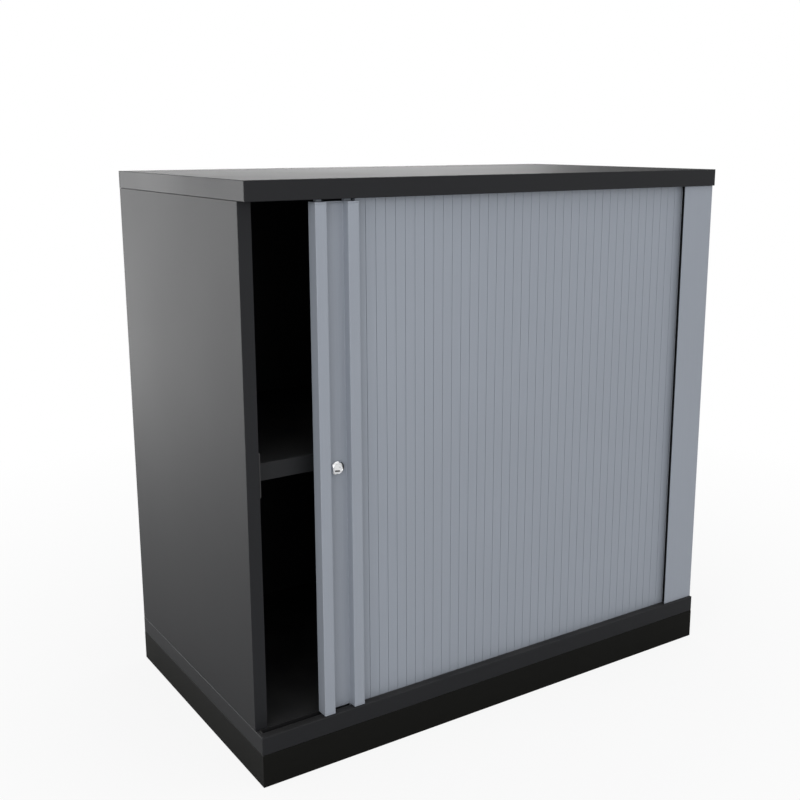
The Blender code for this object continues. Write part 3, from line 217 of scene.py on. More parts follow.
class Effects:
    """Node groups that several finishes share, each built once."""

    made: dict[str, bpy.types.NodeTree] = {}

    @classmethod
    def start(
        cls, name: str, inputs: dict[str, tuple[str, object]], outputs: dict[str, str]
    ) -> tuple[Shader, bpy.types.Node, bpy.types.Node]:
        """Start a node group with named sockets.

        Args:
            name: The group's name.
            inputs: Each input's socket type and default.
            outputs: Each output's socket type.

        Returns:
            The group's shader helper, its input node and its output node.
        """
        tree = bpy.data.node_groups.new(name, "ShaderNodeTree")
        for label, (kind, default) in inputs.items():
            socket = tree.interface.new_socket(label, in_out="INPUT", socket_type=kind)
            socket.default_value = default
        for label, kind in outputs.items():
            tree.interface.new_socket(label, in_out="OUTPUT", socket_type=kind)
        shader = Shader(tree)
        cls.made[name] = tree
        return shader, shader.node("NodeGroupInput"), shader.node("NodeGroupOutput")

    @classmethod
    def mottle(cls) -> bpy.types.NodeTree:
        """Slow uneven tone over a surface.

        Returns:
            A group that turns Colour, Size and Amount into Colour and Tone.
        """
        if "mottle" in cls.made:
            return cls.made["mottle"]
        number, colour = "NodeSocketFloat", "NodeSocketColor"
        inputs = {"Colour": (colour, (0.5, 0.5, 0.5, 1)), "Size": (number, 0.2), "Amount": (number, 0.1)}
        shader, given, out = cls.start("mottle", inputs, {"Colour": colour, "Tone": number})
        coordinates = shader.node("ShaderNodeTexCoord").outputs["Object"]
        texture = shader.node("ShaderNodeTexNoise")
        shader.feed(texture.inputs["Vector"], coordinates)
        shader.feed(texture.inputs["Scale"], shader.math("DIVIDE", 1.0, given.outputs["Size"]))
        texture.inputs["Detail"].default_value = 4.0
        tone = shader.span(texture.outputs["Fac"], 0.3, 0.7, 0.0, 1.0)
        low = shader.math("SUBTRACT", 1.0, given.outputs["Amount"])
        high = shader.math("ADD", 1.0, given.outputs["Amount"])
        level = shader.node("ShaderNodeMapRange")
        for socket, source in zip(level.inputs, (tone, 0.0, 1.0, low, high)):
            shader.feed(socket, source)
        scaled = shader.node("ShaderNodeVectorMath", operation="SCALE")
        shader.feed(scaled.inputs[0], given.outputs["Colour"])
        shader.feed(scaled.inputs["Scale"], level.outputs[0])
        shader.feed(out.inputs["Colour"], scaled.outputs[0])
        shader.feed(out.inputs["Tone"], tone)
        return cls.made["mottle"]

    @classmethod
    def edge_wear(cls) -> bpy.types.NodeTree:
        """A worn line along convex and concave edges, broken up by noise.

        Returns:
            A group that turns Width and Amount into Mask.
        """
        if "edge_wear" in cls.made:
            return cls.made["edge_wear"]
        number = "NodeSocketFloat"
        inputs = {"Width": (number, 0.001), "Amount": (number, 0.5)}
        shader, given, out = cls.start("edge_wear", inputs, {"Mask": number})
        bevel = shader.node("ShaderNodeBevel", samples=4)
        shader.feed(bevel.inputs["Radius"], given.outputs["Width"])
        plain = shader.node("ShaderNodeNewGeometry").outputs["Normal"]
        dot = shader.node("ShaderNodeVectorMath", operation="DOT_PRODUCT")
        shader.feed(dot.inputs[0], bevel.outputs[0])
        shader.feed(dot.inputs[1], plain)
        edge = shader.span(dot.outputs["Value"], 0.97, 0.80, 0.0, 1.0)
        broken = shader.span(shader.noise((160, 160, 160), 3.0), 0.38, 0.62, 0.25, 1.0)
        worn = shader.math("MULTIPLY", edge, broken)
        shader.feed(out.inputs["Mask"], shader.math("MULTIPLY", worn, given.outputs["Amount"]))
        return cls.made["edge_wear"]

    @classmethod
    def dust(cls) -> bpy.types.NodeTree:
        """A thin film of dust on surfaces that face up.

        Returns:
            A group that turns Amount into Mask.
        """
        if "settled_dust" in cls.made:
            return cls.made["settled_dust"]
        number = "NodeSocketFloat"
        shader, given, out = cls.start("settled_dust", {"Amount": (number, 0.1)}, {"Mask": number})
        split = shader.node("ShaderNodeSeparateXYZ")
        shader.feed(split.inputs[0], shader.node("ShaderNodeNewGeometry").outputs["Normal"])
        facing_up = shader.span(split.outputs["Z"], 0.6, 1.0, 0.0, 1.0)
        patches = shader.span(shader.noise((14, 14, 14), 6.0), 0.35, 0.75, 0.2, 1.0)
        layer = shader.math("MULTIPLY", facing_up, patches)
        shader.feed(out.inputs["Mask"], shader.math("MULTIPLY", layer, given.outputs["Amount"]))
        return cls.made["settled_dust"]

    @classmethod
    def place(cls, shader: Shader, tree: bpy.types.NodeTree, **values: object) -> bpy.types.Node:
        """Put a group in a material.

        Args:
            shader: The material's helper.
            tree: The group.
            values: A source for each input, by name.

        Returns:
            The group's node.
        """
        made = shader.node("ShaderNodeGroup", node_tree=tree)
        for name, value in values.items():
            shader.feed(made.inputs[name], value)
        return made


def opaque(colour: Colour) -> tuple[float, float, float, float]:
    """The colour with full alpha."""
    return (*colour, 1.0)


@dataclass(frozen=True)
class Finish:
    """One material: its colour, its gloss, its fine relief and its wear."""

    name: str
    slot: Slot
    colour: Colour
    roughness: float
    metallic: float = 0.0
    specular: float = 0.5
    gloss_play: float = 0.05
    tone_size: float = 0.25
    tone_amount: float = 0.05
    relief_scale: Point = (900.0, 900.0, 900.0)
    relief_detail: float = 2.0
    relief_depth: float = 0.00002
    relief_strength: float = 0.5
    relief_tone: float = 0.05
    worn_colour: Colour = (0.2, 0.2, 0.2)
    wear_width: float = 0.0008
    wear_amount: float = 0.15
    dust_amount: float = 0.04

    def material(self) -> bpy.types.Material:
        """Build the material, or give back the one already built.

        Returns:
            The material.
        """
        found = bpy.data.materials.get(self.name)
        if found is not None:
            return found
        made = bpy.data.materials.new(self.name)
        made.use_nodes = True
        made.diffuse_color = opaque(self.colour)
        shader = Shader(made.node_tree)
        surface = made.node_tree.nodes["Principled BSDF"]
        mottle = Effects.place(
            shader,
            Effects.mottle(),
            Colour=opaque(self.colour),
            Size=self.tone_size,
            Amount=self.tone_amount,
        )
        wear = Effects.place(shader, Effects.edge_wear(), Width=self.wear_width, Amount=self.wear_amount)
        dust = Effects.place(shader, Effects.dust(), Amount=self.dust_amount)
        relief = shader.noise(self.relief_scale, self.relief_detail)
        fine = shader.span(relief, 0.3, 0.7, 1.0 - self.relief_tone, 1.0 + self.relief_tone)
        toned = shader.node("ShaderNodeVectorMath", operation="SCALE")
        shader.feed(toned.inputs[0], mottle.outputs["Colour"])
        shader.feed(toned.inputs["Scale"], fine)
        worn = shader.mix(wear.outputs["Mask"], toned.outputs[0], opaque(self.worn_colour))
        dusty = shader.mix(dust.outputs["Mask"], worn, DUST_COLOUR)
        shader.feed(surface.inputs["Base Color"], dusty)
        low, high = self.roughness - self.gloss_play, self.roughness + self.gloss_play
        gloss = shader.span(mottle.outputs["Tone"], 0.0, 1.0, low, high)
        rough = shader.math("ADD", gloss, shader.math("MULTIPLY", dust.outputs["Mask"], 0.5))
        shader.feed(surface.inputs["Roughness"], rough)
        surface.inputs["Metallic"].default_value = self.metallic
        surface.inputs["Specular IOR Level"].default_value = self.specular
        bump = shader.node("ShaderNodeBump")
        bump.inputs["Strength"].default_value = self.relief_strength
        bump.inputs["Distance"].default_value = self.relief_depth
        shader.feed(bump.inputs["Height"], relief)
        shader.feed(surface.inputs["Normal"], bump.outputs[0])
        return made

    def dress(self, obj: bpy.types.Object) -> None:
        """Give a piece this finish.

        Args:
            obj: The piece.
        """
        obj.data.materials.clear()
        obj.data.materials.append(self.material())


class Finishes:
    """Every finish of the cabinet."""

    BOARD = Finish(
        "anthracite_melamine",
        Slot.BOARD,
        (0.0140, 0.0145, 0.0160),
        0.58,
        specular=0.15,
        gloss_play=0.03,
        tone_size=0.5,
        tone_amount=0.05,
        relief_scale=(1100.0, 1100.0, 1100.0),
        relief_depth=0.00003,
        worn_colour=(0.10, 0.10, 0.105),
        wear_amount=0.25,
    )
    BAND = Finish(
        "anthracite_edge_band",
        Slot.BOARD,
        (0.0140, 0.0145, 0.0162),
        0.55,
        specular=0.15,
        gloss_play=0.04,
        relief_scale=(1400.0, 1400.0, 1400.0),
        worn_colour=(0.13, 0.13, 0.14),
        wear_amount=0.35,
    )
    PLINTH = Finish(
        "black_plinth_board",
        Slot.PLINTH,
        (0.0052, 0.0052, 0.0044),
        0.60,
        specular=0.08,
        relief_scale=(1100.0, 1100.0, 1100.0),
        worn_colour=(0.06, 0.06, 0.06),
        wear_amount=0.3,
    )
    INNER = Finish(
        "dark_inner_board",
        Slot.INNER,
        (0.0140, 0.0145, 0.0160),
        0.50,
        specular=0.2,
        relief_scale=(1100.0, 1100.0, 1100.0),
        worn_colour=(0.08, 0.08, 0.08),
    )
    SLAT = Finish(
        "silver_slat_plastic",
        Slot.SILVER,
        (0.272, 0.298, 0.342),
        0.44,
        specular=0.35,
        tone_size=0.30,
        tone_amount=0.025,
        relief_scale=(1500.0, 1500.0, 9.0),
        relief_depth=0.00002,
        relief_strength=0.3,
        relief_tone=0.015,
        worn_colour=(0.36, 0.38, 0.41),
        wear_width=0.0005,
    )
    PROFILE = Finish(
        "silver_profile_plastic",
        Slot.SILVER,
        (0.276, 0.301, 0.345),
        0.42,
        specular=0.35,
        tone_size=0.40,
        tone_amount=0.03,
        relief_scale=(1300.0, 1300.0, 7.0),
        relief_depth=0.00002,
        relief_strength=0.3,
        relief_tone=0.02,
        worn_colour=(0.42, 0.44, 0.47),
        wear_width=0.0008,
    )
    RAIL = Finish(
        "black_rail_plastic",
        Slot.RAIL,
        (0.012, 0.012, 0.013),
        0.44,
        relief_scale=(700.0, 700.0, 700.0),
        worn_colour=(0.05, 0.05, 0.05),
    )
    RUBBER = Finish("stop_rubber_black", Slot.RUBBER, (0.015, 0.015, 0.015), 0.82, wear_amount=0.05)
    SEAL = Finish(
        "seal_rubber_black",
        Slot.RUBBER,
        (0.003, 0.003, 0.003),
        0.85,
        specular=0.1,
        wear_amount=0.0,
        dust_amount=0.0,
    )
    CHROME = Finish(
        "lock_chrome",
        Slot.CHROME,
        (0.80, 0.81, 0.82),
        0.14,
        metallic=1.0,
        gloss_play=0.04,
        relief_scale=(2500.0, 2500.0, 2500.0),
        relief_strength=0.15,
        worn_colour=(0.60, 0.60, 0.60),
        wear_width=0.0003,
        dust_amount=0.0,
    )
    ZINC = Finish(
        "zinc_plate",
        Slot.ZINC,
        (0.50, 0.51, 0.53),
        0.34,
        metallic=1.0,
        gloss_play=0.08,
        tone_size=0.02,
        tone_amount=0.10,
        relief_scale=(900.0, 900.0, 900.0),
        worn_colour=(0.65, 0.65, 0.66),
        dust_amount=0.0,
    )
    STEEL = Finish(
        "bright_steel",
        Slot.STEEL,
        (0.44, 0.44, 0.45),
        0.28,
        metallic=1.0,
        gloss_play=0.06,
        tone_size=0.01,
        relief_scale=(1800.0, 1800.0, 1800.0),
        worn_colour=(0.6, 0.6, 0.6),
        dust_amount=0.0,
    )
    # Painted shade: a near-black finish laid on the lock's hollows and on the rim's right edge, standing in for
    # shade and dark reflection.
    PAINTED_SHADE = Finish(
        "painted_shade_black",
        Slot.CHROME,
        (0.006, 0.006, 0.006),
        0.6,
        wear_amount=0.0,
        dust_amount=0.0,
    )


# Hand tools


class Bench:
    """The modelling operations that every piece is made with."""

    @staticmethod
    def take(obj: bpy.types.Object) -> None:
        """Select this object alone and make it active."""
        bpy.ops.object.select_all(action="DESELECT")
        obj.select_set(True)
        bpy.context.view_layer.objects.active = obj

    @staticmethod
    def name(obj: bpy.types.Object, name: str) -> bpy.types.Object:
        """Name an object and its mesh alike."""
        obj.name = name
        obj.data.name = name
        return obj

    @classmethod
    def settle(cls, obj: bpy.types.Object) -> bpy.types.Object:
        """Move the object's place, turn and scale into its mesh."""
        cls.take(obj)
        bpy.ops.object.transform_apply(location=True, rotation=True, scale=True)
        return obj

    @classmethod
    def edit(cls, obj: bpy.types.Object, domain: str) -> None:
        """Open an object for editing with nothing selected.

        Args:
            obj: The object.
            domain: VERT, EDGE or FACE selection.
        """
        cls.take(obj)
        bpy.ops.object.mode_set(mode="EDIT")
        bpy.ops.mesh.select_mode(type=domain)
        bpy.ops.mesh.select_all(action="DESELECT")

    @staticmethod
    def close() -> None:
        """Leave edit mode."""
        bpy.ops.object.mode_set(mode="OBJECT")

    @staticmethod
    def pick_edges(obj: bpy.types.Object, wanted: Callable[[Vector, Vector], bool]) -> int:
        """Select edges of the open object by their place.

        Args:
            obj: The object in edit mode.
            wanted: A test on an edge's middle and its direction.

        Returns:
            How many edges are selected.
        """
        shape = bmesh.from_edit_mesh(obj.data)
        count = 0
        for edge in shape.edges:
            first, second = (vert.co for vert in edge.verts)
            chosen = wanted((first + second) / 2, (second - first).normalized())
            edge.select_set(chosen)
            count += chosen
        bmesh.update_edit_mesh(obj.data)
        return count

    @staticmethod
    def pick_faces(obj: bpy.types.Object, wanted: Callable[[Vector, Vector], bool]) -> int:
        """Select faces of the open object by their middle and their normal.

        Args:
            obj: The object in edit mode.
            wanted: A test on a face's middle and its normal.

        Returns:
            How many faces are selected.
        """
        shape = bmesh.from_edit_mesh(obj.data)
        count = 0
        for face in shape.faces:
            chosen = wanted(face.calc_center_median(), face.normal)
            face.select_set(chosen)
            count += chosen
        bmesh.update_edit_mesh(obj.data)
        return count

    @classmethod
    def block(cls, name: str, low: Sequence[float], high: Sequence[float]) -> bpy.types.Object:
        """Add a cube and pull it to a box.

        Args:
            name: The piece's name.
            low: The box's lowest corner.
            high: The box's highest corner.

        Returns:
            The block.
        """
        low, high = Vector(low), Vector(high)
        bpy.ops.object.select_all(action="DESELECT")
        bpy.ops.mesh.primitive_cube_add(size=1, location=(low + high) / 2)
        obj = cls.name(bpy.context.object, name)
        bpy.ops.object.mode_set(mode="EDIT")
        bpy.ops.transform.resize(value=high - low, center_override=(low + high) / 2)
        cls.close()
        return cls.settle(obj)

    @classmethod
    def bevel(
        cls,
        obj: bpy.types.Object,
        width: float,
        segments: int,
        wanted: Callable[[Vector, Vector], bool] | None = None,
    ) -> bpy.types.Object:
        """Round edges of a piece.

        Args:
            obj: The piece.
            width: The width of the rounding.
            segments: How many faces it has.
            wanted: A test on an edge's middle and direction, or None for every edge.

        Returns:
            The piece.
        """
        cls.edit(obj, "EDGE")
        if wanted is None:
            bpy.ops.mesh.select_all(action="SELECT")
            picked = 1
        else:
            picked = cls.pick_edges(obj, wanted)
        if picked:
            bpy.ops.mesh.bevel(offset=width, segments=segments, affect="EDGES")
        cls.close()
        return obj

    @classmethod
    def carve(
        cls, obj: bpy.types.Object, cutter: bpy.types.Object, operation: str = "DIFFERENCE"
    ) -> bpy.types.Object:
        """Cut a piece with another, or join them, and drop the other.

        Args:
            obj: The piece.
            cutter: The other piece, which is used up.
            operation: DIFFERENCE, UNION or INTERSECT.

        Returns:
            The piece.
        """
        modifier = obj.modifiers.new("carve", "BOOLEAN")
        modifier.operation = operation
        modifier.solver = "EXACT"
        modifier.object = cutter
        cls.take(obj)
        bpy.ops.object.modifier_apply(modifier=modifier.name)
        bpy.data.objects.remove(cutter, do_unlink=True)
        return obj

    @classmethod
    def rod(
        cls,
        name: str,
        start: Sequence[float],
        way: Sequence[float],
        radius: float,
        length: float,
        steps: int,
    ) -> bpy.types.Object:
        """Add a round bar from a point along a direction.

        Args:
            name: The piece's name.
            start: The middle of its first end.
            way: The direction it runs.
            radius: Its radius.
            length: Its length.
            steps: How many sides it has.

        Returns:
            The bar.
        """
        way = Vector(way).normalized()
        bpy.ops.object.select_all(action="DESELECT")
        bpy.ops.mesh.primitive_cylinder_add(
            vertices=steps,
            radius=radius,
            depth=length,
            location=Vector(start) + way * (length / 2),
            rotation=way.to_track_quat("Z", "Y").to_euler(),
        )
        return cls.settle(cls.name(bpy.context.object, name))

    @classmethod
    def gather(cls, objects: Iterable[bpy.types.Object]) -> bpy.types.Object:
        """Join separate cutters into one object.

        Args:
            objects: The cutters.

        Returns:
            The joined object.
        """
        bpy.ops.object.select_all(action="DESELECT")
        first = None
        for obj in objects:
            obj.select_set(True)
            first = first or obj
        bpy.context.view_layer.objects.active = first
        bpy.ops.object.join()
        return first

    @classmethod
    def extrusion(
        cls,
        name: str,
        cuts: tuple[Sequence[float], Sequence[float]],
        keep: Callable[[float, float], bool],
        low_z: float,
        high_z: float,
    ) -> bpy.types.Object:
        """Make an upright profile: a plane is cut into cells, some are deleted and the rest is extruded.

        Args:
            name: The piece's name.
            cuts: Every X and every Y where the section turns, from low to high.
            keep: A test on a cell's middle.
            low_z: The profile's lower end.
            high_z: The profile's upper end.

        Returns:
            The profile.
        """
        across, along = cuts
        middle = ((across[0] + across[-1]) / 2, (along[0] + along[-1]) / 2, low_z)
        bpy.ops.object.select_all(action="DESELECT")
        bpy.ops.mesh.primitive_plane_add(size=1, location=middle)
        obj = cls.name(bpy.context.object, name)
        bpy.ops.object.mode_set(mode="EDIT")
        size = (across[-1] - across[0], along[-1] - along[0], 1)
        bpy.ops.transform.resize(value=size, center_override=middle)
        cls.close()
        cls.settle(obj)
        cls.edit(obj, "FACE")
        for values, normal in ((across[1:-1], (1, 0, 0)), (along[1:-1], (0, 1, 0))):
            for value in values:
                bpy.ops.mesh.select_all(action="SELECT")
                bpy.ops.mesh.bisect(plane_co=Vector(normal) * value, plane_no=normal)
        bpy.ops.mesh.select_all(action="DESELECT")
        if cls.pick_faces(obj, lambda centre, _: not keep(centre.x, centre.y)):
            bpy.ops.mesh.delete(type="FACE")
        bpy.ops.mesh.select_all(action="SELECT")
        bpy.ops.mesh.extrude_region_move(TRANSFORM_OT_translate={"value": (0, 0, high_z - low_z)})
        bpy.ops.mesh.select_all(action="SELECT")
        bpy.ops.mesh.dissolve_limited(angle_limit=math.radians(1))
        bpy.ops.mesh.select_all(action="SELECT")
        bpy.ops.mesh.normals_make_consistent(inside=False)
        cls.close()
        return obj

    @classmethod
    def lathe(
        cls,
        name: str,
        profile: Sequence[tuple[float, float]],
        start: Sequence[float],
        way: Sequence[float],
        steps: int,
        ring: bool = False,
    ) -> bpy.types.Object:
        """Turn a round piece: a circle is extruded and resized from one step of the profile to the next.

        Args:
            name: The piece's name.
            profile: The radius and height of each step.
            start: The point of the axis at height zero.
            way: The direction of height.
            steps: How many sides it has.
            ring: Whether the last step joins the first, as on a tube.

        Returns:
            The turned piece.
        """
        radius, height = profile[0]
        bpy.ops.object.select_all(action="DESELECT")
        bpy.ops.mesh.primitive_circle_add(vertices=steps, radius=radius, location=(0, 0, height))
        obj = cls.name(bpy.context.object, name)
        cls.settle(obj)
        cls.edit(obj, "EDGE")
        bpy.ops.mesh.select_all(action="SELECT")
        for wider, higher in profile[1:]:
            bpy.ops.mesh.extrude_region_move(TRANSFORM_OT_translate={"value": (0, 0, higher - height)})
            share = wider / radius
            bpy.ops.transform.resize(value=(share, share, 1), center_override=(0, 0, higher))
            radius, height = wider, higher
        shape = bmesh.from_edit_mesh(obj.data)
        rims = [edge for edge in shape.edges if edge.is_boundary]
        for edge in shape.edges:
            edge.select_set(edge in rims)
        bmesh.update_edit_mesh(obj.data)
        if ring:
            bpy.ops.mesh.bridge_edge_loops()
        else:
            for place in (profile[0][1], profile[-1][1]):
                cls.pick_edges(obj, lambda centre, _, z=place: abs(centre.z - z) < GAP / 100)
                shape = bmesh.from_edit_mesh(obj.data)
                for edge in shape.edges:
                    edge.select_set(edge.select and edge.is_boundary)
                bmesh.update_edit_mesh(obj.data)
                bpy.ops.mesh.edge_face_add()
        bpy.ops.mesh.select_all(action="SELECT")
        bpy.ops.mesh.normals_make_consistent(inside=False)
        cls.close()
        obj.rotation_euler = Vector(way).to_track_quat("Z", "Y").to_euler()
        obj.location = start
        return cls.settle(obj)

    @classmethod
    def smooth(cls, obj: bpy.types.Object, angle: float = 40.0) -> bpy.types.Object:
        """Shade smooth under an angle, with flat faces kept flat.

        Args:
            obj: The piece.
            angle: The angle in degrees above which an edge stays sharp.

        Returns:
            The piece.
        """
        cls.take(obj)
        bpy.ops.object.shade_smooth_by_angle(angle=math.radians(angle))
        modifier = obj.modifiers.new("flat faces", "WEIGHTED_NORMAL")
        modifier.weight = 100
        modifier.keep_sharp = True
        bpy.ops.object.modifier_apply(modifier=modifier.name)
        return obj

    @classmethod
    def ease(cls, obj: bpy.types.Object, width: float) -> None:
        """Break every sharp edge of a piece.

        Args:
            obj: The piece.
            width: The width of the broken edge.
        """
        modifier = obj.modifiers.new("eased edges", "BEVEL")
        modifier.width, modifier.segments, modifier.limit_method = width, 2, "ANGLE"
        cls.take(obj)
        bpy.ops.object.modifier_apply(modifier=modifier.name)

    @staticmethod
    def copy(obj: bpy.types.Object, name: str, move: Matrix) -> bpy.types.Object:
        """Copy a finished piece, with a mesh of its own.

        Args:
            obj: The piece.
            name: The copy's name.
            move: How the copy's mesh is moved.

        Returns:
            The copy.
        """
        made = bpy.data.objects.new(name, obj.data.copy())
        made.data.name = name
        made.data.transform(move)
        bpy.context.scene.collection.objects.link(made)
        return made


def place(obj: bpy.types.Object, finish: Finish, body: Body, *nodes: str) -> bpy.types.Object:
    """Dress a finished piece, set it on its body and let it stand for its CAD nodes.

    Args:
        obj: The piece.
        finish: Its finish.
        body: The body that it rides on.
        nodes: The CAD nodes that it replaces.

    Returns:
        The piece.
    """
    finish.dress(obj)
    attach(obj, body.value)
    if nodes:
        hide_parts(*nodes)
    log.info("%s: %d faces on %s", obj.name, len(obj.data.polygons), body.value)
    return obj


def middle_of(node: str) -> Vector:
    """The middle of a CAD node's box."""
    low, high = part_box(node)
    return (low + high) / 2


# The shutter's way round the cabinet


@dataclass
class ShutterPath:
    """The line of the film hinges, in plan."""

    radius: float = 0.028
    pitch: float = 0.015
    thickness: float = 0.006
    film: float = 0.001
    clearance: float = 0.0025
    turn_x: float = field(init=False)
    front_y: float = field(init=False)
    side_x: float = field(init=False)
    back_y: float = field(init=False)

    def __post_init__(self) -> None:
        """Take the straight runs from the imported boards."""
        face = self.thickness - self.film / 2
        self.front_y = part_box("handle_profile")[1].y - self.film / 2
        self.side_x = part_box("right_side_panel")[0].x - self.clearance - face
        self.back_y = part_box("back_panel")[0].y - self.clearance - face
        self.turn_x = self.side_x - self.radius

    @property
    def turn_length(self) -> float:
        """The length of a quarter turn."""
        return self.radius * math.pi / 2

    def point(self, distance: float) -> Vector:
        """A point of the line.

        Args:
            distance: The distance past the start of the front corner.

        Returns:
            The point, in plan.
        """
        side_run = self.back_y - self.front_y - 2 * self.radius
        if distance < 0:
            return Vector((self.turn_x + distance, self.front_y))
        if distance < self.turn_length:
            turn = distance / self.radius
            centre = Vector((self.turn_x, self.front_y + self.radius))
            return centre + self.radius * Vector((math.sin(turn), -math.cos(turn)))
        distance -= self.turn_length
        if distance < side_run:
            return Vector((self.side_x, self.front_y + self.radius + distance))
        turn = min((distance - side_run) / self.radius, math.pi / 2)
        centre = Vector((self.turn_x, self.back_y - self.radius))
        return centre + self.radius * Vector((math.cos(turn), math.sin(turn)))

    def hinges(self, first_x: float, count: int) -> list[Vector]:
        """The hinges of a row of slats.

        Args:
            first_x: The X of the first hinge, on the front run.
            count: How many slats there are.

        Returns:
            One more point than there are slats.
        """
        distance = first_x - self.turn_x
        points = [self.point(distance)]
        for _ in range(count):
            near, far = distance, distance + 2 * self.pitch
            while far - near > GAP / 1000:
                middle = (near + far) / 2
                if (self.point(middle) - points[-1]).length < self.pitch:
                    near = middle
                else:
                    far = middle
            distance = far
            points.append(self.point(distance))
        return points


@dataclass
class Shutter:
    """The mat of slats: one slat is modelled, then copied along the path."""

    path: ShutterPath
    leading: float = 0.016
    groove: float = 0.0004
    edge_round: float = 0.0004
    turn_spare: float = 0.004
    blend_height: float = 0.4

    @property
    def count(self) -> int:
        """As many slats as reach round the front corner while the door is closed."""
        travel = next(joint["range_m"] for joint in frame["joints"] if joint["name"] == "door_slide")
        return math.ceil((travel[1] - travel[0] + self.path.turn_length) / self.path.pitch)

    def slat(self, name: str, width: float, low_z: float, high_z: float) -> bpy.types.Object:
        """Model one slat with its film, along +X from the origin, showing its front to -Y.

        Args:
            name: The piece's name.
            width: The slat's pitch.
            low_z: Its lower end.
            high_z: Its upper end.

        Returns:
            The slat.
        """
        half = self.path.film / 2
        face = self.path.thickness - half
        gap = self.groove / 2
        across = (0, gap, width - gap, width)
        along = (-face, -half, half)
        obj = Bench.extrusion(
            name, (across, along), lambda x, y: y > -half or gap < x < width - gap, low_z, high_z
        )
        Bench.bevel(
            obj,
            self.edge_round,
            3,
            lambda centre, way: abs(way.z) > 0.9 and centre.y < -face + self.edge_round / 9,
        )
        Bench.bevel(
            obj,
            self.groove / 6,
            2,
            lambda centre, way: abs(way.z) > 0.9 and abs(centre.y + half) < GAP / 10 and 0 < centre.x < width,
        )
        return Bench.smooth(obj, 50)

    def weave(self, obj: bpy.types.Object) -> None:
        """Bake the place of a slat of the front run into its mesh.

        Args:
            obj: The slat.
        """
        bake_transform(obj)

    def build(self) -> None:
        """Make the leading strip and every slat."""
        low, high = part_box("tambour_shutter")
        handle_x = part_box("handle_profile")[1].x
        seam_x = handle_x + self.leading
        strip = self.slat("shutter_leading_strip", self.leading - GAP, low.z, high.z)
        strip.data.transform(Matrix.Translation((handle_x + GAP, self.path.front_y, 0)))
        place(strip, Finishes.SLAT, Body.DOOR, "tambour_shutter")
        pattern = self.slat("slat_pattern", self.path.pitch, low.z, high.z)
        hinges = self.path.hinges(seam_x, self.count)
        for index, (start, end) in enumerate(zip(hinges, hinges[1:])):
            way = end - start
            move = Matrix.Translation((*start, 0)) @ Matrix.Rotation(math.atan2(way.y, way.x), 4, "Z")
            obj = Bench.copy(pattern, f"shutter_slat_{index + 1:02d}", move)
            Finishes.SLAT.dress(obj)
            if end.x < self.path.turn_x and abs(end.y - self.path.front_y) < GAP / 100:
                self.weave(obj)
            else:
                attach(obj, Body.CABINET.value)
        bpy.data.objects.remove(pattern, do_unlink=True)
        log.info("shutter: %d slats", self.count)


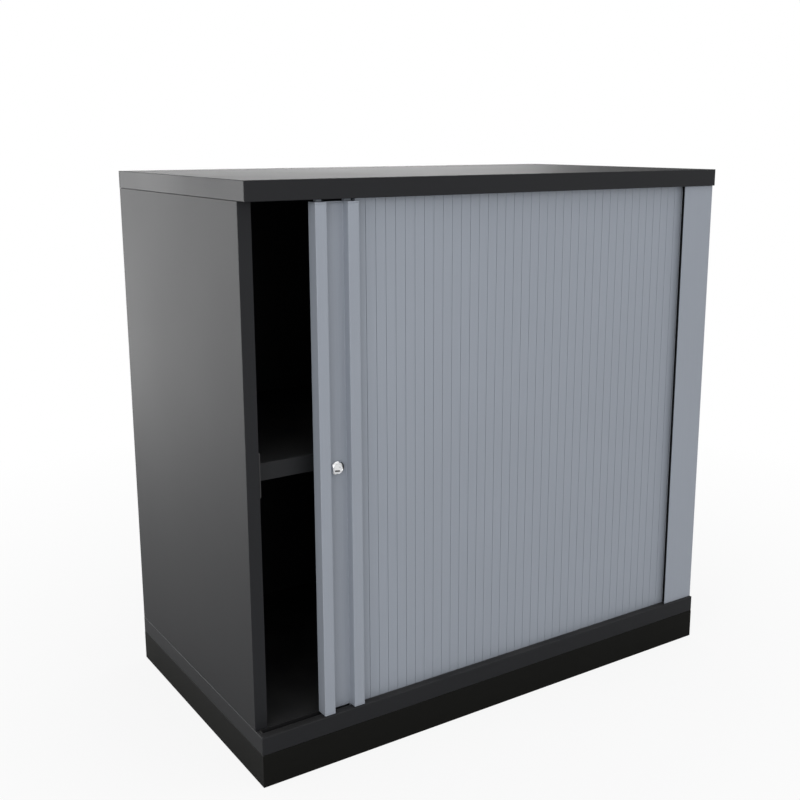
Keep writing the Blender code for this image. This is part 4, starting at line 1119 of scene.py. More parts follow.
@dataclass
class Boards:
    """The cabinet's boards, each a core with edge bands."""

    path: ShutterPath
    band: float = 0.002
    core_chamfer: float = 0.00018
    outer_round: float = 0.0011
    board_round: float = 0.0006
    shelf_round: float = 0.001
    rail_out: float = 0.0084
    rail_in: float = 0.0037
    rail_depth: float = 0.0106
    rail_start_inset: float = 0.004
    bolt_radius: float = 0.0033
    bolt_hole_depth: float = 0.0113
    bolt_bore_depth: float = 0.034
    overrun: float = 0.002
    mortise_depth: float = 0.0081
    mortise_half_width: float = 0.003
    cam_radius: float = 0.0078
    cam_depth: float = 0.0127
    pin_radius: float = 0.0028
    pin_depth: float = 0.0093
    pin_pitch: float = 0.032
    pin_rows_each_way: int = 5

    def core(self, node: str, sides: Iterable[Side]) -> tuple[bpy.types.Object, Vector, Vector]:
        """A board's core, without the thickness of its edge bands.

        Args:
            node: The CAD node that it stands for.
            sides: The sides that carry a band.

        Returns:
            The core and its lowest and highest corners.
        """
        low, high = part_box(node)
        for side in sides:
            way = Vector(side.value)
            if way.x + way.y > 0:
                high -= way * self.band
            else:
                low -= way * self.band
        obj = Bench.block(f"{node}_core", low, high)
        Bench.bevel(obj, self.core_chamfer, 1)
        return obj, low, high

    def bands(self, node: str, sides: Sequence[Side], radius: float, finish: Finish) -> None:
        """Glue an edge band on each of these sides of a board.

        Args:
            node: The board's CAD node.
            sides: The sides.
            radius: The rounding of the bands' outer edges.
            finish: Their finish.
        """
        low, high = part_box(node)
        for side in sides:
            way = Vector(side.value)
            start, end = low.copy(), high.copy()
            if way.x:
                if Side.FRONT in sides:
                    start.y += self.band
                if Side.BACK in sides:
                    end.y -= self.band
            axis = 0 if way.x else 1
            if way[axis] > 0:
                start[axis] = end[axis] - self.band
            else:
                end[axis] = start[axis] + self.band
            obj = Bench.block(f"{node}_{side.name.lower()}_band", start, end)
            outer = end[axis] if way[axis] > 0 else start[axis]
            Bench.bevel(obj, radius, 4, lambda centre, _: abs(centre[axis] - outer) < GAP / 100)
            Bench.smooth(obj)
            place(obj, finish, Body.CABINET)

    def channel(self, low_z: float, high_z: float, end_x: float) -> bpy.types.Object:
        """The cutter of the routed channel that takes the guide rails.

        Args:
            low_z: Its lower end.
            high_z: Its upper end.
            end_x: Where the run along the back ends.

        Returns:
            The cutter.
        """
        path, start_x = self.path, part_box("top_panel")[0].x + self.rail_start_inset
        centres = (path.front_y + path.radius, path.back_y - path.radius)

        def edge(offset: float) -> list[tuple[float, float]]:
            radius = path.radius + offset
            points = [(start_x, path.front_y - offset)]
            for first, centre_y in zip((-math.pi / 2, 0), centres):
                for step in range(17):
                    angle = first + math.pi / 2 * step / 16
                    out, along = radius * math.cos(angle), radius * math.sin(angle)
                    points.append((path.turn_x + out, centre_y + along))
            return [*points, (end_x, path.back_y + offset)]

        outline = edge(self.rail_out) + edge(-self.rail_in)[::-1]
        curve = bpy.data.curves.new("channel_cutter", "CURVE")
        curve.dimensions, curve.fill_mode, curve.extrude = "2D", "BOTH", (high_z - low_z) / 2
        spline = curve.splines.new("POLY")
        spline.points.add(len(outline) - 1)
        for point, (x, y) in zip(spline.points, outline):
            point.co = (x, y, 0, 1)
        spline.use_cyclic_u = True
        obj = bpy.data.objects.new("channel_cutter", curve)
        bpy.context.scene.collection.objects.link(obj)
        obj.location.z = (high_z + low_z) / 2
        Bench.take(obj)
        bpy.ops.object.convert(target="MESH")
        Bench.edit(obj, "VERT")
        bpy.ops.mesh.select_all(action="SELECT")
        bpy.ops.mesh.remove_doubles(threshold=GAP / 100)
        bpy.ops.mesh.normals_make_consistent(inside=False)
        Bench.close()
        return Bench.settle(obj)

    def bores(
        self, name: str, starts: Iterable[Point], way: Point, radius: float, depth: float
    ) -> bpy.types.Object:
        """A cutter of equal blind holes.

        Args:
            name: The cutter's name.
            starts: A point on the face for each hole.
            way: The direction into the board.
            radius: The holes' radius.
            depth: The holes' depth.

        Returns:
            The cutter.
        """
        back = Vector(way) * self.overrun
        length = depth + self.overrun
        return Bench.gather(
            [Bench.rod(name, Vector(start) - back, way, radius, length, 24) for start in starts]
        )

    def panel_with_channel(self, node: str, up: bool) -> None:
        """The top or the bottom panel, with its channel and the holes for the bolts.

        Args:
            node: The CAD node.
            up: Whether the channel opens upwards, as in the bottom panel.
        """
        obj, low, high = self.core(node, Side)
        face_z = high.z if up else low.z
        back_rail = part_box("lower_back_rail")[0].x - GAP
        depth, over = self.rail_depth, self.overrun
        low_z, high_z = (face_z - depth, face_z + over) if up else (face_z - over, face_z + depth)
        Bench.carve(obj, self.channel(low_z, high_z, back_rail))
        level, way = ("low", (0, 0, -1)) if up else ("high", (0, 0, 1))
        starts = []
        for side in ("left", "right"):
            for end in ("front", "back"):
                middle = middle_of(f"fitting_bolt_{side}_{level}_{end}")
                starts.append((middle.x, middle.y, face_z))
        Bench.carve(obj, self.bores("bolt_holes", starts, way, self.bolt_radius, self.bolt_hole_depth))
        Bench.smooth(obj, 30)
        place(obj, Finishes.BOARD, Body.CABINET, node)
        self.bands(node, list(Side), self.outer_round, Finishes.BAND)

    def cam_bores(self, obj: bpy.types.Object, side: str, face_x: float, way: Point) -> None:
        """Bore a side panel for its fitting cams and bolts.

        Args:
            obj: The panel's core.
            side: left or right.
            face_x: The X of its inner face.
            way: The direction into the panel.
        """
        cams, lows, highs = [], [], []
        floor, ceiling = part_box("bottom_panel")[1].z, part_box("top_panel")[0].z
        for end in ("front", "back"):
            for level, rows, z in (("low", lows, floor), ("high", highs, ceiling)):
                cam = middle_of(f"fitting_cam_{side}_{level}_{end}")
                cams.append((face_x, cam.y, cam.z))
                bolt = middle_of(f"fitting_bolt_{side}_{level}_{end}")
                rows.append((bolt.x, bolt.y, z))
        Bench.carve(obj, self.bores("cam_bores", cams, way, self.cam_radius, self.cam_depth))
        for name, starts, up in (("low_bolt_bores", lows, 1), ("high_bolt_bores", highs, -1)):
            cutter = self.bores(name, starts, (0, 0, up), self.bolt_radius, self.bolt_bore_depth)
            Bench.carve(obj, cutter)

    def pin_holes(self, face_x: float, way: Point) -> bpy.types.Object:
        """The cutter of the two rows of shelf pin holes.

        Args:
            face_x: The X of the bored face.
            way: The direction into the board.

        Returns:
            The cutter.
        """
        starts = []
        for end in ("front", "back"):
            pin = middle_of(f"shelf_pin_left_{end}")
            for step in range(-self.pin_rows_each_way, self.pin_rows_each_way + 1):
                starts.append((face_x, pin.y, pin.z + step * self.pin_pitch))
        return self.bores("pin_holes", starts, way, self.pin_radius, self.pin_depth)

    def side_panels(self) -> None:
        """Both outer side panels with their bores, and the mortise of the left one."""
        sides = [Side.FRONT, Side.BACK]
        obj, _, high = self.core("left_side_panel", sides)
        self.cam_bores(obj, "left", high.x, (-1, 0, 0))
        Bench.carve(obj, self.pin_holes(high.x, (-1, 0, 0)))
        cam, slot_low, slot_high = middle_of("lock_cam"), *StrikePlate.slot()
        half = self.mortise_half_width
        mortise = Bench.block(
            "mortise",
            (high.x - self.mortise_depth, cam.y - half, slot_low - GAP),
            (high.x + self.overrun, cam.y + half, slot_high + GAP),
        )
        Bench.carve(obj, mortise)
        Bench.smooth(obj, 30)
        place(obj, Finishes.BOARD, Body.CABINET, "left_side_panel")
        self.bands("left_side_panel", sides, self.board_round, Finishes.BAND)
        obj, low, _ = self.core("right_side_panel", sides)
        self.cam_bores(obj, "right", low.x, (1, 0, 0))
        Bench.smooth(obj, 30)
        place(obj, Finishes.BOARD, Body.CABINET, "right_side_panel")
        self.bands("right_side_panel", sides, self.board_round, Finishes.BAND)

    def plain(self, node: str, finish: Finish, sides: Sequence[Side], radius: float) -> None:
        """A board with no holes.

        Args:
            node: The CAD node.
            finish: Its finish.
            sides: The sides that carry a band.
            radius: The rounding of its edges.
        """
        if sides:
            obj, _, _ = self.core(node, sides)
            self.bands(node, sides, radius, finish)
        else:
            obj = Bench.block(f"{node}_board", *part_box(node))
            Bench.bevel(obj, radius, 3)
        Bench.smooth(obj)
        place(obj, finish, Body.CABINET, node)

    def plinth_board(self, side: Side) -> None:
        """One board of the plinth, with both ends cut to a mitre.

        Args:
            side: The side of the cabinet that it is on.
        """
        node = f"plinth_{side.name.lower()}"
        low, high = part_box(node)
        obj = Bench.block(f"{node}_board", low, high)
        inward = -Vector(side.value)
        along = Vector((abs(inward.y), abs(inward.x), 0))
        outer = low if inward.x + inward.y > 0 else high
        for end, way in ((low, -along), (high, along)):
            corner = Vector((end.x, outer.y, 0)) if along.x else Vector((outer.x, end.y, 0))
            Bench.edit(obj, "FACE")
            bpy.ops.mesh.select_all(action="SELECT")
            bpy.ops.mesh.bisect(plane_co=corner, plane_no=way + inward, use_fill=True, clear_outer=True)
            Bench.close()
        Bench.bevel(obj, self.board_round, 3, lambda _, way: abs(way.dot(along)) > 0.99)
        Bench.smooth(obj)
        place(obj, Finishes.PLINTH, Body.CABINET, node)

    def build(self) -> None:
        """Make every board."""
        self.panel_with_channel("bottom_panel", True)
        self.panel_with_channel("top_panel", False)
        self.side_panels()
        self.plain("back_panel", Finishes.BOARD, (), self.board_round)
        self.plain("inner_back_panel", Finishes.INNER, (), self.board_round)
        self.plain("shelf", Finishes.INNER, [Side.FRONT], self.shelf_round)
        obj, low, _ = self.core("inner_side_panel", [Side.FRONT])
        Bench.carve(obj, self.pin_holes(low.x, (1, 0, 0)))
        Bench.smooth(obj, 30)
        place(obj, Finishes.INNER, Body.CABINET, "inner_side_panel")
        self.bands("inner_side_panel", [Side.FRONT], self.board_round, Finishes.INNER)
        for side in Side:
            self.plinth_board(side)


@dataclass
class CoverStrip:
    """The silver profile over the shutter's corner, and the black lip that seals it to the slats."""

    wall: float = 0.0014
    leg: float = 0.002
    leg_inset: float = 0.0006
    front_round: float = 0.0007
    seal_base: float = 0.0012
    seal_lip: float = 0.0008
    seal_lean: float = 0.0041

    def profile(self) -> None:
        """Make the silver profile: a thin plate on two legs."""
        low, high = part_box("corner_cover_strip")
        leg_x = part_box("right_side_panel")[0].x + self.leg_inset
        across = (low.x, leg_x, leg_x + self.leg, high.x - self.leg, high.x)
        along = (low.y, low.y + self.wall, high.y)

        def keep(x: float, y: float) -> bool:
            return y < along[1] or across[1] < x < across[2] or x > across[3]

        obj = Bench.extrusion("corner_strip_profile", (across, along), keep, low.z, high.z)
        Bench.bevel(
            obj, self.front_round, 4, lambda centre, way: abs(way.z) > 0.9 and centre.y < low.y + GAP / 10
        )
        Bench.bevel(obj, GAP / 2, 1, lambda centre, way: abs(way.z) < 0.1 and centre.y < along[1])
        Bench.smooth(obj, 50)
        place(obj, Finishes.PROFILE, Body.CABINET, "corner_cover_strip")

    def seal(self) -> None:
        """Make the seal: a strip with an upright lip, whose tip is then leaned over to the slats."""
        low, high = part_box("corner_lip_seal")
        across, along = (low.x, low.x + self.seal_lip, high.x), (low.y, low.y + self.seal_base, high.y)
        obj = Bench.extrusion(
            "corner_rubber_lip", (across, along), lambda x, y: y < along[1] or x < across[1], low.z, high.z
        )
        root_lean = self.seal_lean * self.seal_base / (high.y - low.y)
        for place_y, first_x, lean in ((high.y, low.x, self.seal_lean), (along[1], across[1], root_lean)):
            Bench.edit(obj, "EDGE")
            Bench.pick_edges(
                obj,
                lambda centre, way, y=place_y, x=first_x: abs(way.z) > 0.9
                and abs(centre.y - y) < GAP / 10
                and x - GAP / 10 < centre.x < across[1] + GAP / 10,
            )
            bpy.ops.transform.translate(value=(lean, 0, 0))
            Bench.close()
        Bench.bevel(obj, GAP / 2, 2, lambda centre, way: abs(way.z) > 0.9 and centre.y > high.y - GAP / 10)
        Bench.smooth(obj, 50)
        place(obj, Finishes.SEAL, Body.CABINET, "corner_lip_seal")

    def build(self) -> None:
        """Make the profile and its seal."""
        self.profile()
        self.seal()


@dataclass
class DoorHandle:
    """The door's leading profile with its two ribs and the grip channel."""

    rib: float = 0.016
    wall: float = 0.002
    floor: float = 0.0025
    channel_setback: float = 0.013
    neck: float = 0.0026
    neck_inset: float = 0.0021
    front_round: float = 0.0011
    lock_hole: float = 0.0087
    lock_hole_length: float = 0.006
    overrun: float = 0.002

    def build(self) -> None:
        """Make the profile and cut its lock hole."""
        low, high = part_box("handle_profile")
        left_rib, right_rib = low.x + self.rib, high.x - self.rib
        floor_y = low.y + self.channel_setback
        neck_y = high.y - self.wall - GAP - self.neck_inset
        across = (low.x, low.x + self.wall, left_rib - self.wall, left_rib)
        across += (right_rib, right_rib + self.wall, high.x - self.wall, high.x)
        along = (low.y, low.y + self.wall, neck_y - self.neck / 2, neck_y + self.neck / 2)
        along = tuple(sorted({*along, floor_y, floor_y + self.floor, high.y - self.wall, high.y}))

        def keep(x: float, y: float) -> bool:
            if left_rib < x < right_rib:
                return floor_y < y < floor_y + self.floor
            chamber = low.y + self.wall < y < high.y - self.wall
            left = across[1] < x < across[2]
            right = across[5] < x < across[6]
            slot = x > across[6] and abs(y - neck_y) < self.neck / 2
            return not (chamber and (left or right)) and not slot

        obj = Bench.extrusion("door_handle_profile", (across, along), keep, low.z, high.z)
        edges = (low.x, left_rib, right_rib, high.x)
        Bench.bevel(
            obj,
            self.front_round,
            4,
            lambda centre, way: abs(way.z) > 0.9
            and centre.y < low.y + GAP / 10
            and min(abs(centre.x - x) for x in edges) < GAP / 10,
        )
        Bench.bevel(
            obj,
            self.front_round,
            4,
            lambda centre, way: abs(way.z) > 0.9
            and abs(centre.y - floor_y) < GAP / 10
            and min(abs(centre.x - left_rib), abs(centre.x - right_rib)) < GAP / 10,
        )
        lock = middle_of("lock_housing")
        start = (lock.x, floor_y - self.overrun, lock.z)
        hole = Bench.rod("lock_hole", start, (0, 1, 0), self.lock_hole, self.lock_hole_length, 48)
        Bench.carve(obj, hole)
        Bench.smooth(obj, 50)
        place(obj, Finishes.PROFILE, Body.DOOR, "handle_profile")
        for node in ("handle_bottom_guide", "handle_top_guide"):
            Finishes.PROFILE.dress(frame["nodes"][node])


@dataclass
class CylinderLock:
    """The cylinder lock in the grip channel: a raised rim with a sloped edge and the bright plug in it."""

    rim: float = 0.00925
    rim_height: float = 0.0042
    slope: tuple[float, float] = (0.0018, 0.0013)
    notch_from: float = 0.00635
    notch_depth: float = 0.0003
    notch_turn: float = 15.0
    body: float = 0.0084
    depth: float = 0.0115
    thread_pitch: float = 0.001
    thread_depth: float = 0.00035
    thread_start: float = 0.0004
    barrel_chamfer: float = 0.0004
    nut_round: float = 0.0005
    nut_hole_length: float = 0.008
    bore: float = 0.00625
    plug: float = 0.0061
    plug_chamfer: float = 0.0002
    recess: float = 0.00015
    keyway: tuple[float, float] = (0.0073, 0.0020)
    keyway_depth: float = 0.004
    keyway_drop: float = 0.0034
    keyway_shift: float = 0.00125
    keyway_turn: float = 9.0
    keyway_round: float = 0.0004
    dot: tuple[float, float] = (0.0025, 0.0012)
    dot_radius: float = 0.0006
    dot_length: float = 0.0016
    square: float = 0.0064
    square_start: float = 0.006
    square_end: float = 0.0143
    screw_hole: tuple[float, float] = (0.0018, 0.0083)
    screw_head: tuple[float, float] = (0.0045, 0.002)
    screw_shank: tuple[float, float] = (0.0015, 0.008)
    cam_thickness: float = 0.0025
    cam_hub: float = 0.008
    cam_reach: float = 0.020
    cam_half_width: float = 0.005
    cam_round: float = 0.0022
    cam_ease: float = 0.00025
    overrun: float = 0.001

    def __post_init__(self) -> None:
        """Find the lock's axis on the channel floor."""
        low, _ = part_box("handle_profile")
        middle = middle_of("lock_housing")
        self.axis = Vector((middle.x, low.y + DoorHandle.channel_setback, middle.z))

    def housing(self) -> None:
        """Make the raised rim with its shallow notch, the painted shade on its right edge, and the threaded
        barrel behind.
        """
        top, lip, (run, drop) = self.rim_height, self.recess, self.slope
        profile = [(self.bore, top - lip), (self.bore + lip, top), (self.rim - run, top)]
        profile += [(self.rim - lip, top - drop), (self.rim, top - drop - lip)]
        profile += [(self.rim, GAP), (self.body, GAP)]
        pitch, height = self.thread_pitch, -self.thread_start
        while height - pitch > -self.depth:
            profile.append((self.body, height))
            profile.append((self.body - self.thread_depth, height - pitch / 2))
            height -= pitch
        profile += [(self.body, height), (self.body - self.barrel_chamfer, -self.depth)]
        profile += [(self.bore, -self.depth)]
        obj = Bench.lathe("lock_rim_and_barrel", profile, self.axis, (0, -1, 0), 96, ring=True)
        face_y = self.axis.y - top
        notch = Bench.block(
            "rim_notch",
            (self.axis.x + self.notch_from, face_y - self.overrun, self.axis.z - self.rim),
            (self.axis.x + 2 * self.rim, face_y + self.notch_depth, self.axis.z + self.rim),
        )
        turn = Matrix.Rotation(-math.radians(self.notch_turn), 4, "Y")
        notch.data.transform(Matrix.Translation(self.axis) @ turn @ Matrix.Translation(-self.axis))
        Bench.carve(obj, notch)
        Bench.smooth(obj, 30)
        place(obj, Finishes.CHROME, Body.DOOR, "lock_housing")
        # Painted shade: the rim's right-hand faces, notch and side, get the black finish, standing in for the
        # dark reflection and shadow that the chrome shows there.
        way, near = turn @ Vector((1, 0, 0)), GAP / 9
        self.paint_shade(
            obj,
            lambda offset, height: offset.dot(way) > self.notch_from - near and 0 < height < top - near,
        )

    def paint_shade(self, obj: bpy.types.Object, wanted: Callable[[Vector, float], bool]) -> None:
        """Paint shade on the lock: the chosen faces get the near-black finish in place of shade.

        Args:
            obj: The piece.
            wanted: A test on a face's offset from the axis and its height over the channel floor.
        """
        obj.data.materials.append(Finishes.PAINTED_SHADE.material())
        for face in obj.data.polygons:
            offset = face.center - self.axis
            if wanted(Vector((offset.x, 0, offset.z)), -offset.y):
                face.material_index = 1

    def nut(self) -> None:
        """The hexagonal nut that holds the barrel behind the channel floor."""
        low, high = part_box("lock_nut")
        middle = (low + high) / 2
        start = (middle.x, low.y, middle.z)
        obj = Bench.rod("lock_hex_nut", start, (0, 1, 0), (high.z - low.z) / 2, high.y - low.y, 6)
        Bench.bevel(obj, self.nut_round, 2)
        start = (middle.x, low.y - self.overrun, middle.z)
        Bench.carve(obj, Bench.rod("nut_hole", start, (0, 1, 0), self.body + GAP, self.nut_hole_length, 48))
        Bench.smooth(obj, 35)
        place(obj, Finishes.ZINC, Body.DOOR, "lock_nut")

    def turning_plug(self) -> None:
        """The plug with its keyway, its punched dot and the square end that carries the cam."""
        top, chamfer = self.rim_height - self.recess, self.plug_chamfer
        profile = [(self.plug - chamfer, top), (self.plug, top - chamfer), (self.plug, -self.depth)]
        obj = Bench.lathe("lock_turning_plug", profile, self.axis, (0, -1, 0), 64)
        half = self.square / 2
        axis_x, axis_y, axis_z = self.axis
        square = Bench.block(
            "plug_square",
            (axis_x - half, axis_y + self.square_start, axis_z - half),
            (axis_x + half, axis_y + self.depth + GAP + self.cam_thickness, axis_z + half),
        )
        Bench.carve(obj, square, "UNION")
        width, height = self.keyway
        slot_x, slot_z, face_y = axis_x - self.keyway_shift, axis_z - self.keyway_drop, axis_y - top
        slot = Bench.block(
            "keyway",
            (slot_x - width / 2, face_y - self.overrun, slot_z - height / 2),
            (slot_x + width / 2, face_y + self.keyway_depth, slot_z + height / 2),
        )
        Bench.bevel(slot, self.keyway_round, 3, lambda _, way: abs(way.y) > 0.9)
        middle = Matrix.Translation((slot_x, face_y, slot_z))
        turn = Matrix.Rotation(math.radians(self.keyway_turn), 4, "Y")
        slot.data.transform(middle @ turn @ middle.inverted())
        Bench.carve(obj, slot)
        start = (axis_x + self.dot[0], face_y - self.overrun, axis_z + self.dot[1])
        Bench.carve(obj, Bench.rod("dot", start, (0, 1, 0), self.dot_radius, self.dot_length, 20))
        start = (axis_x, axis_y + self.square_end, axis_z)
        Bench.carve(obj, Bench.rod("screw_hole", start, (0, -1, 0), *self.screw_hole, 24))
        Bench.smooth(obj, 35)
        place(obj, Finishes.CHROME, Body.LOCK, "lock_plug")
        # Painted shade: the walls of the keyway and of the punched dot get the black finish, in place of the
        # shade inside these hollows.
        low = top - self.keyway_depth - GAP / 3
        self.paint_shade(
            obj, lambda offset, height: offset.length < self.plug - GAP and low < height < top - GAP / 3
        )

    def cam(self) -> None:
        """The flat cam, its arm up at rest, and the screw that holds it."""
        low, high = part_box("lock_cam")
        start = (self.axis.x, low.y, self.axis.z)
        obj = Bench.rod("lock_swing_cam", start, (0, 1, 0), self.cam_hub, high.y - low.y, 48)
        arm = Bench.block(
            "cam_arm",
            (self.axis.x - self.cam_half_width, low.y, self.axis.z),
            (self.axis.x + self.cam_half_width, high.y, self.axis.z + self.cam_reach - GAP),
        )
        Bench.bevel(
            arm,
            self.cam_round,
            5,
            lambda centre, way: abs(way.y) > 0.9 and centre.z > self.axis.z + self.cam_reach / 2,
        )
        Bench.carve(obj, arm, "UNION")
        half = self.square / 2 + GAP
        hole = Bench.block(
            "cam_square_hole",
            (self.axis.x - half, low.y - self.overrun, self.axis.z - half),
            (self.axis.x + half, high.y + self.overrun, self.axis.z + half),
        )
        Bench.carve(obj, hole)
        Bench.ease(obj, self.cam_ease)
        Bench.smooth(obj, 35)
        place(obj, Finishes.ZINC, Body.LOCK, "lock_cam")
        start = Vector((self.axis.x, high.y, self.axis.z))
        screw = Hardware.screw("cam_fixing_screw", start, (0, 1, 0), self.screw_head, self.screw_shank)
        place(screw, Finishes.STEEL, Body.LOCK, "lock_cam_screw")

    def build(self) -> None:
        """Make the whole lock."""
        self.housing()
        self.nut()
        self.turning_plug()
        self.cam()


class Hardware:
    """Screws, pins and cams, each kind modelled by one function."""

    skirt_share = 0.35
    dome_share = 0.65
    thread_pitch_share = 0.7
    thread_start_share = 0.4
    thread_root_share = 0.78
    screw_tip_share = 0.5
    recess_size_share = 1.15
    recess_depth_share = 0.6
    pin_tip_share = 0.4
    cam_dish_share = 0.72
    cam_lip_share = 0.80
    cam_dish = 0.0004
    cam_chamfer = 0.0003
    cam_recess_share = 1.05
    cam_recess_depth = 0.0026
    mouth_start = 0.003
    mouth_length = 0.02

    @staticmethod
    def cross_recess(start: Vector, way: Vector, size: float, depth: float) -> bpy.types.Object:
        """The cutter of a cross recess.

        Args:
            start: The middle of the recess at the surface.
            way: The direction out of the surface.
            size: The length of each arm, tip to tip.
            depth: Its depth.

        Returns:
            The cutter.
        """
        arms = []
        for long_x in (True, False):
            half_x, half_y = (size / 2, size / 9) if long_x else (size / 9, size / 2)
            arms.append(Bench.block("cross_arm", (-half_x, -half_y, -depth), (half_x, half_y, depth)))
        cutter = Bench.carve(arms[0], arms[1], "UNION")
        cutter.rotation_euler = way.to_track_quat("Z", "Y").to_euler()
        cutter.location = start
        return Bench.settle(cutter)

    @classmethod
    def screw(
        cls,
        name: str,
        start: Vector,
        way: Sequence[float],
        head: tuple[float, float],
        shank: tuple[float, float],
    ) -> bpy.types.Object:
        """A screw with a domed head, a cross recess and a threaded shank.

        Args:
            name: The piece's name.
            start: The point of its axis on the face under the head.
            way: The direction out of that face.
            head: The head's radius and height.
            shank: The shank's radius and length.

        Returns:
            The screw.
        """
        radius, height = head
        thin, length = shank
        base = GAP
        profile = []
        for step in range(1, 9):
            angle = math.pi / 2 * step / 8
            rise = height * cls.skirt_share + height * cls.dome_share * math.cos(angle)
            profile.append((radius * math.sin(angle), base + rise))
        profile += [(radius, base), (thin, base)]
        pitch, level = thin * cls.thread_pitch_share, -thin * cls.thread_start_share
        while level - pitch > -length + thin:
            profile.append((thin, level))
            profile.append((thin * cls.thread_root_share, level - pitch / 2))
            level -= pitch
        profile += [(thin, level), (thin * cls.screw_tip_share, -length)]
        obj = Bench.lathe(name, profile, start, way, 32)
        out = Vector(way)
        size, depth = radius * cls.recess_size_share, height * cls.recess_depth_share
        Bench.carve(obj, cls.cross_recess(start + out * (base + height), out, size, depth))
        return Bench.smooth(obj, 35)

    @classmethod
    def shelf_pins(cls) -> None:
        """The four shelf pins with collar and rounded ends."""
        seat, reach, radius, collar = 0.009, 0.009, 0.0025, 0.0045
        collar_top, chamfer, tip = 0.0015, 0.0002, 0.0006
        profile = []
        for step in range(1, 7):
            angle = math.pi / 2 * step / 6
            drop = radius * cls.pin_tip_share * (1 - math.cos(angle))
            profile.append((radius * math.sin(angle), reach - drop))
        profile += [(radius, collar_top + chamfer), (radius + chamfer, collar_top)]
        profile += [(collar - chamfer, collar_top), (collar, collar_top - chamfer)]
        profile += [(collar, GAP + chamfer), (collar - chamfer, GAP), (radius, GAP)]
        profile += [(radius, -seat + tip), (radius - tip, -seat)]
        faces = {"left": (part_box("left_side_panel")[1].x, 1), "right": (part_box("inner_side_panel")[0].x, -1)}
        for side, (face_x, way) in faces.items():
            for end in ("front", "back"):
                node = f"shelf_pin_{side}_{end}"
                middle = middle_of(node)
                obj = Bench.lathe(f"{node}_turned", profile, (face_x, middle.y, middle.z), (way, 0, 0), 32)
                Bench.smooth(obj, 35)
                place(obj, Finishes.STEEL, Body.CABINET, node)

    @classmethod
    def fitting_cams(cls) -> None:
        """The eight cam fittings: a disc with a rim, a cross recess and the mouth for its bolt."""
        for side, way in (("left", 1), ("right", -1)):
            for level, up in (("low", 1), ("high", -1)):
                for end in ("front", "back"):
                    node = f"fitting_cam_{side}_{level}_{end}"
                    low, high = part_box(node)
                    face_x = high.x if way > 0 else low.x
                    middle = (low + high) / 2
                    depth, radius = high.x - low.x, (high.y - low.y) / 2
                    dish, lip = radius * cls.cam_dish_share, radius * cls.cam_lip_share
                    profile = [(dish, -cls.cam_dish), (lip, 0.0), (radius - cls.cam_chamfer, 0.0)]
                    profile += [(radius, -cls.cam_chamfer), (radius, -depth)]
                    face = Vector((face_x, middle.y, middle.z))
                    obj = Bench.lathe(f"{node}_disc", profile, face, (way, 0, 0), 48)
                    size = radius * cls.cam_recess_share
                    Bench.carve(obj, cls.cross_recess(face, Vector((way, 0, 0)), size, cls.cam_recess_depth))
                    bolt = middle_of(f"fitting_bolt_{side}_{level}_{end}")
                    start = (bolt.x, bolt.y, middle.z + up * cls.mouth_start)
                    mouth = Bench.rod(
                        "bolt_mouth", start, (0, 0, -up), Boards.bolt_radius, cls.mouth_length, 24
                    )
                    Bench.carve(obj, mouth)
                    Bench.smooth(obj, 35)
                    place(obj, Finishes.ZINC, Body.CABINET, node)
                    Finishes.STEEL.dress(frame["nodes"][f"fitting_bolt_{side}_{level}_{end}"])

    @classmethod
    def rails_and_stops(cls) -> None:
        """Dress the guide rails and their rubber stops, whose solids stay."""
        for level in ("lower", "upper"):
            for run in ("front_rail", "front_curve", "side_rail", "rear_curve", "back_rail"):
                Finishes.RAIL.dress(frame["nodes"][f"{level}_{run}"])
            for stop in ("closed_stop", "open_stop"):
                Finishes.RUBBER.dress(frame["nodes"][f"{level}_{stop}"])


@dataclass
class StrikePlate:
    """The slotted plate on the left side panel, with its two screws."""

    corner: float = 0.0025
    slot_half_width: float = 0.00265
    slot_spare: float = 0.002
    slot_round: float = 0.0012
    ease: float = 0.0002
    screw_hole: tuple[float, float] = (0.0018, 0.004)
    screw_head: tuple[float, float] = (0.003, 0.0013)
    screw_shank: tuple[float, float] = (0.0015, 0.0105)
    overrun: float = 0.001

    @classmethod
    def slot(cls) -> tuple[float, float]:
        """The height range of the slot that the cam swings into.

        Returns:
            Its lower and its upper end.
        """
        axis = middle_of("lock_housing").z
        _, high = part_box("strike_plate")
        slides = [joint for joint in frame["joints"] if joint["name"] == "door_slide"]
        travel = min(abs(joint["range_m"][0]) for joint in slides)
        inset = middle_of("lock_housing").x - travel - high.x
        swing = math.sqrt(CylinderLock.cam_reach**2 - inset**2)
        return axis - CylinderLock.cam_half_width - cls.slot_spare, axis + swing + cls.slot_spare

    def build(self) -> None:
        """Make the plate and its screws."""
        low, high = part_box("strike_plate")
        obj = Bench.block("strike_slotted_plate", low, high)
        Bench.bevel(obj, self.corner, 5, lambda _, way: abs(way.x) > 0.9)
        cam, (slot_low, slot_high) = middle_of("lock_cam"), self.slot()
        slot = Bench.block(
            "strike_slot",
            (low.x - self.overrun, cam.y - self.slot_half_width, slot_low),
            (high.x + self.overrun, cam.y + self.slot_half_width, slot_high),
        )
        Bench.bevel(slot, self.slot_round, 4, lambda _, way: abs(way.x) > 0.9)
        Bench.carve(obj, slot)
        holes = []
        for name in ("lower", "upper"):
            screw = middle_of(f"strike_screw_{name}")
            start = (low.x - self.overrun, screw.y, screw.z)
            holes.append(Bench.rod("screw_hole", start, (1, 0, 0), *self.screw_hole, 24))
        Bench.carve(obj, Bench.gather(holes))
        Bench.ease(obj, self.ease)
        Bench.smooth(obj, 35)
        place(obj, Finishes.RAIL, Body.CABINET, "strike_plate")
        for name in ("lower", "upper"):
            middle = middle_of(f"strike_screw_{name}")
            start = Vector((high.x, middle.y, middle.z))
            title = f"strike_{name}_fixing"
            screw = Hardware.screw(title, start, (1, 0, 0), self.screw_head, self.screw_shank)
            place(screw, Finishes.STEEL, Body.CABINET, f"strike_screw_{name}")


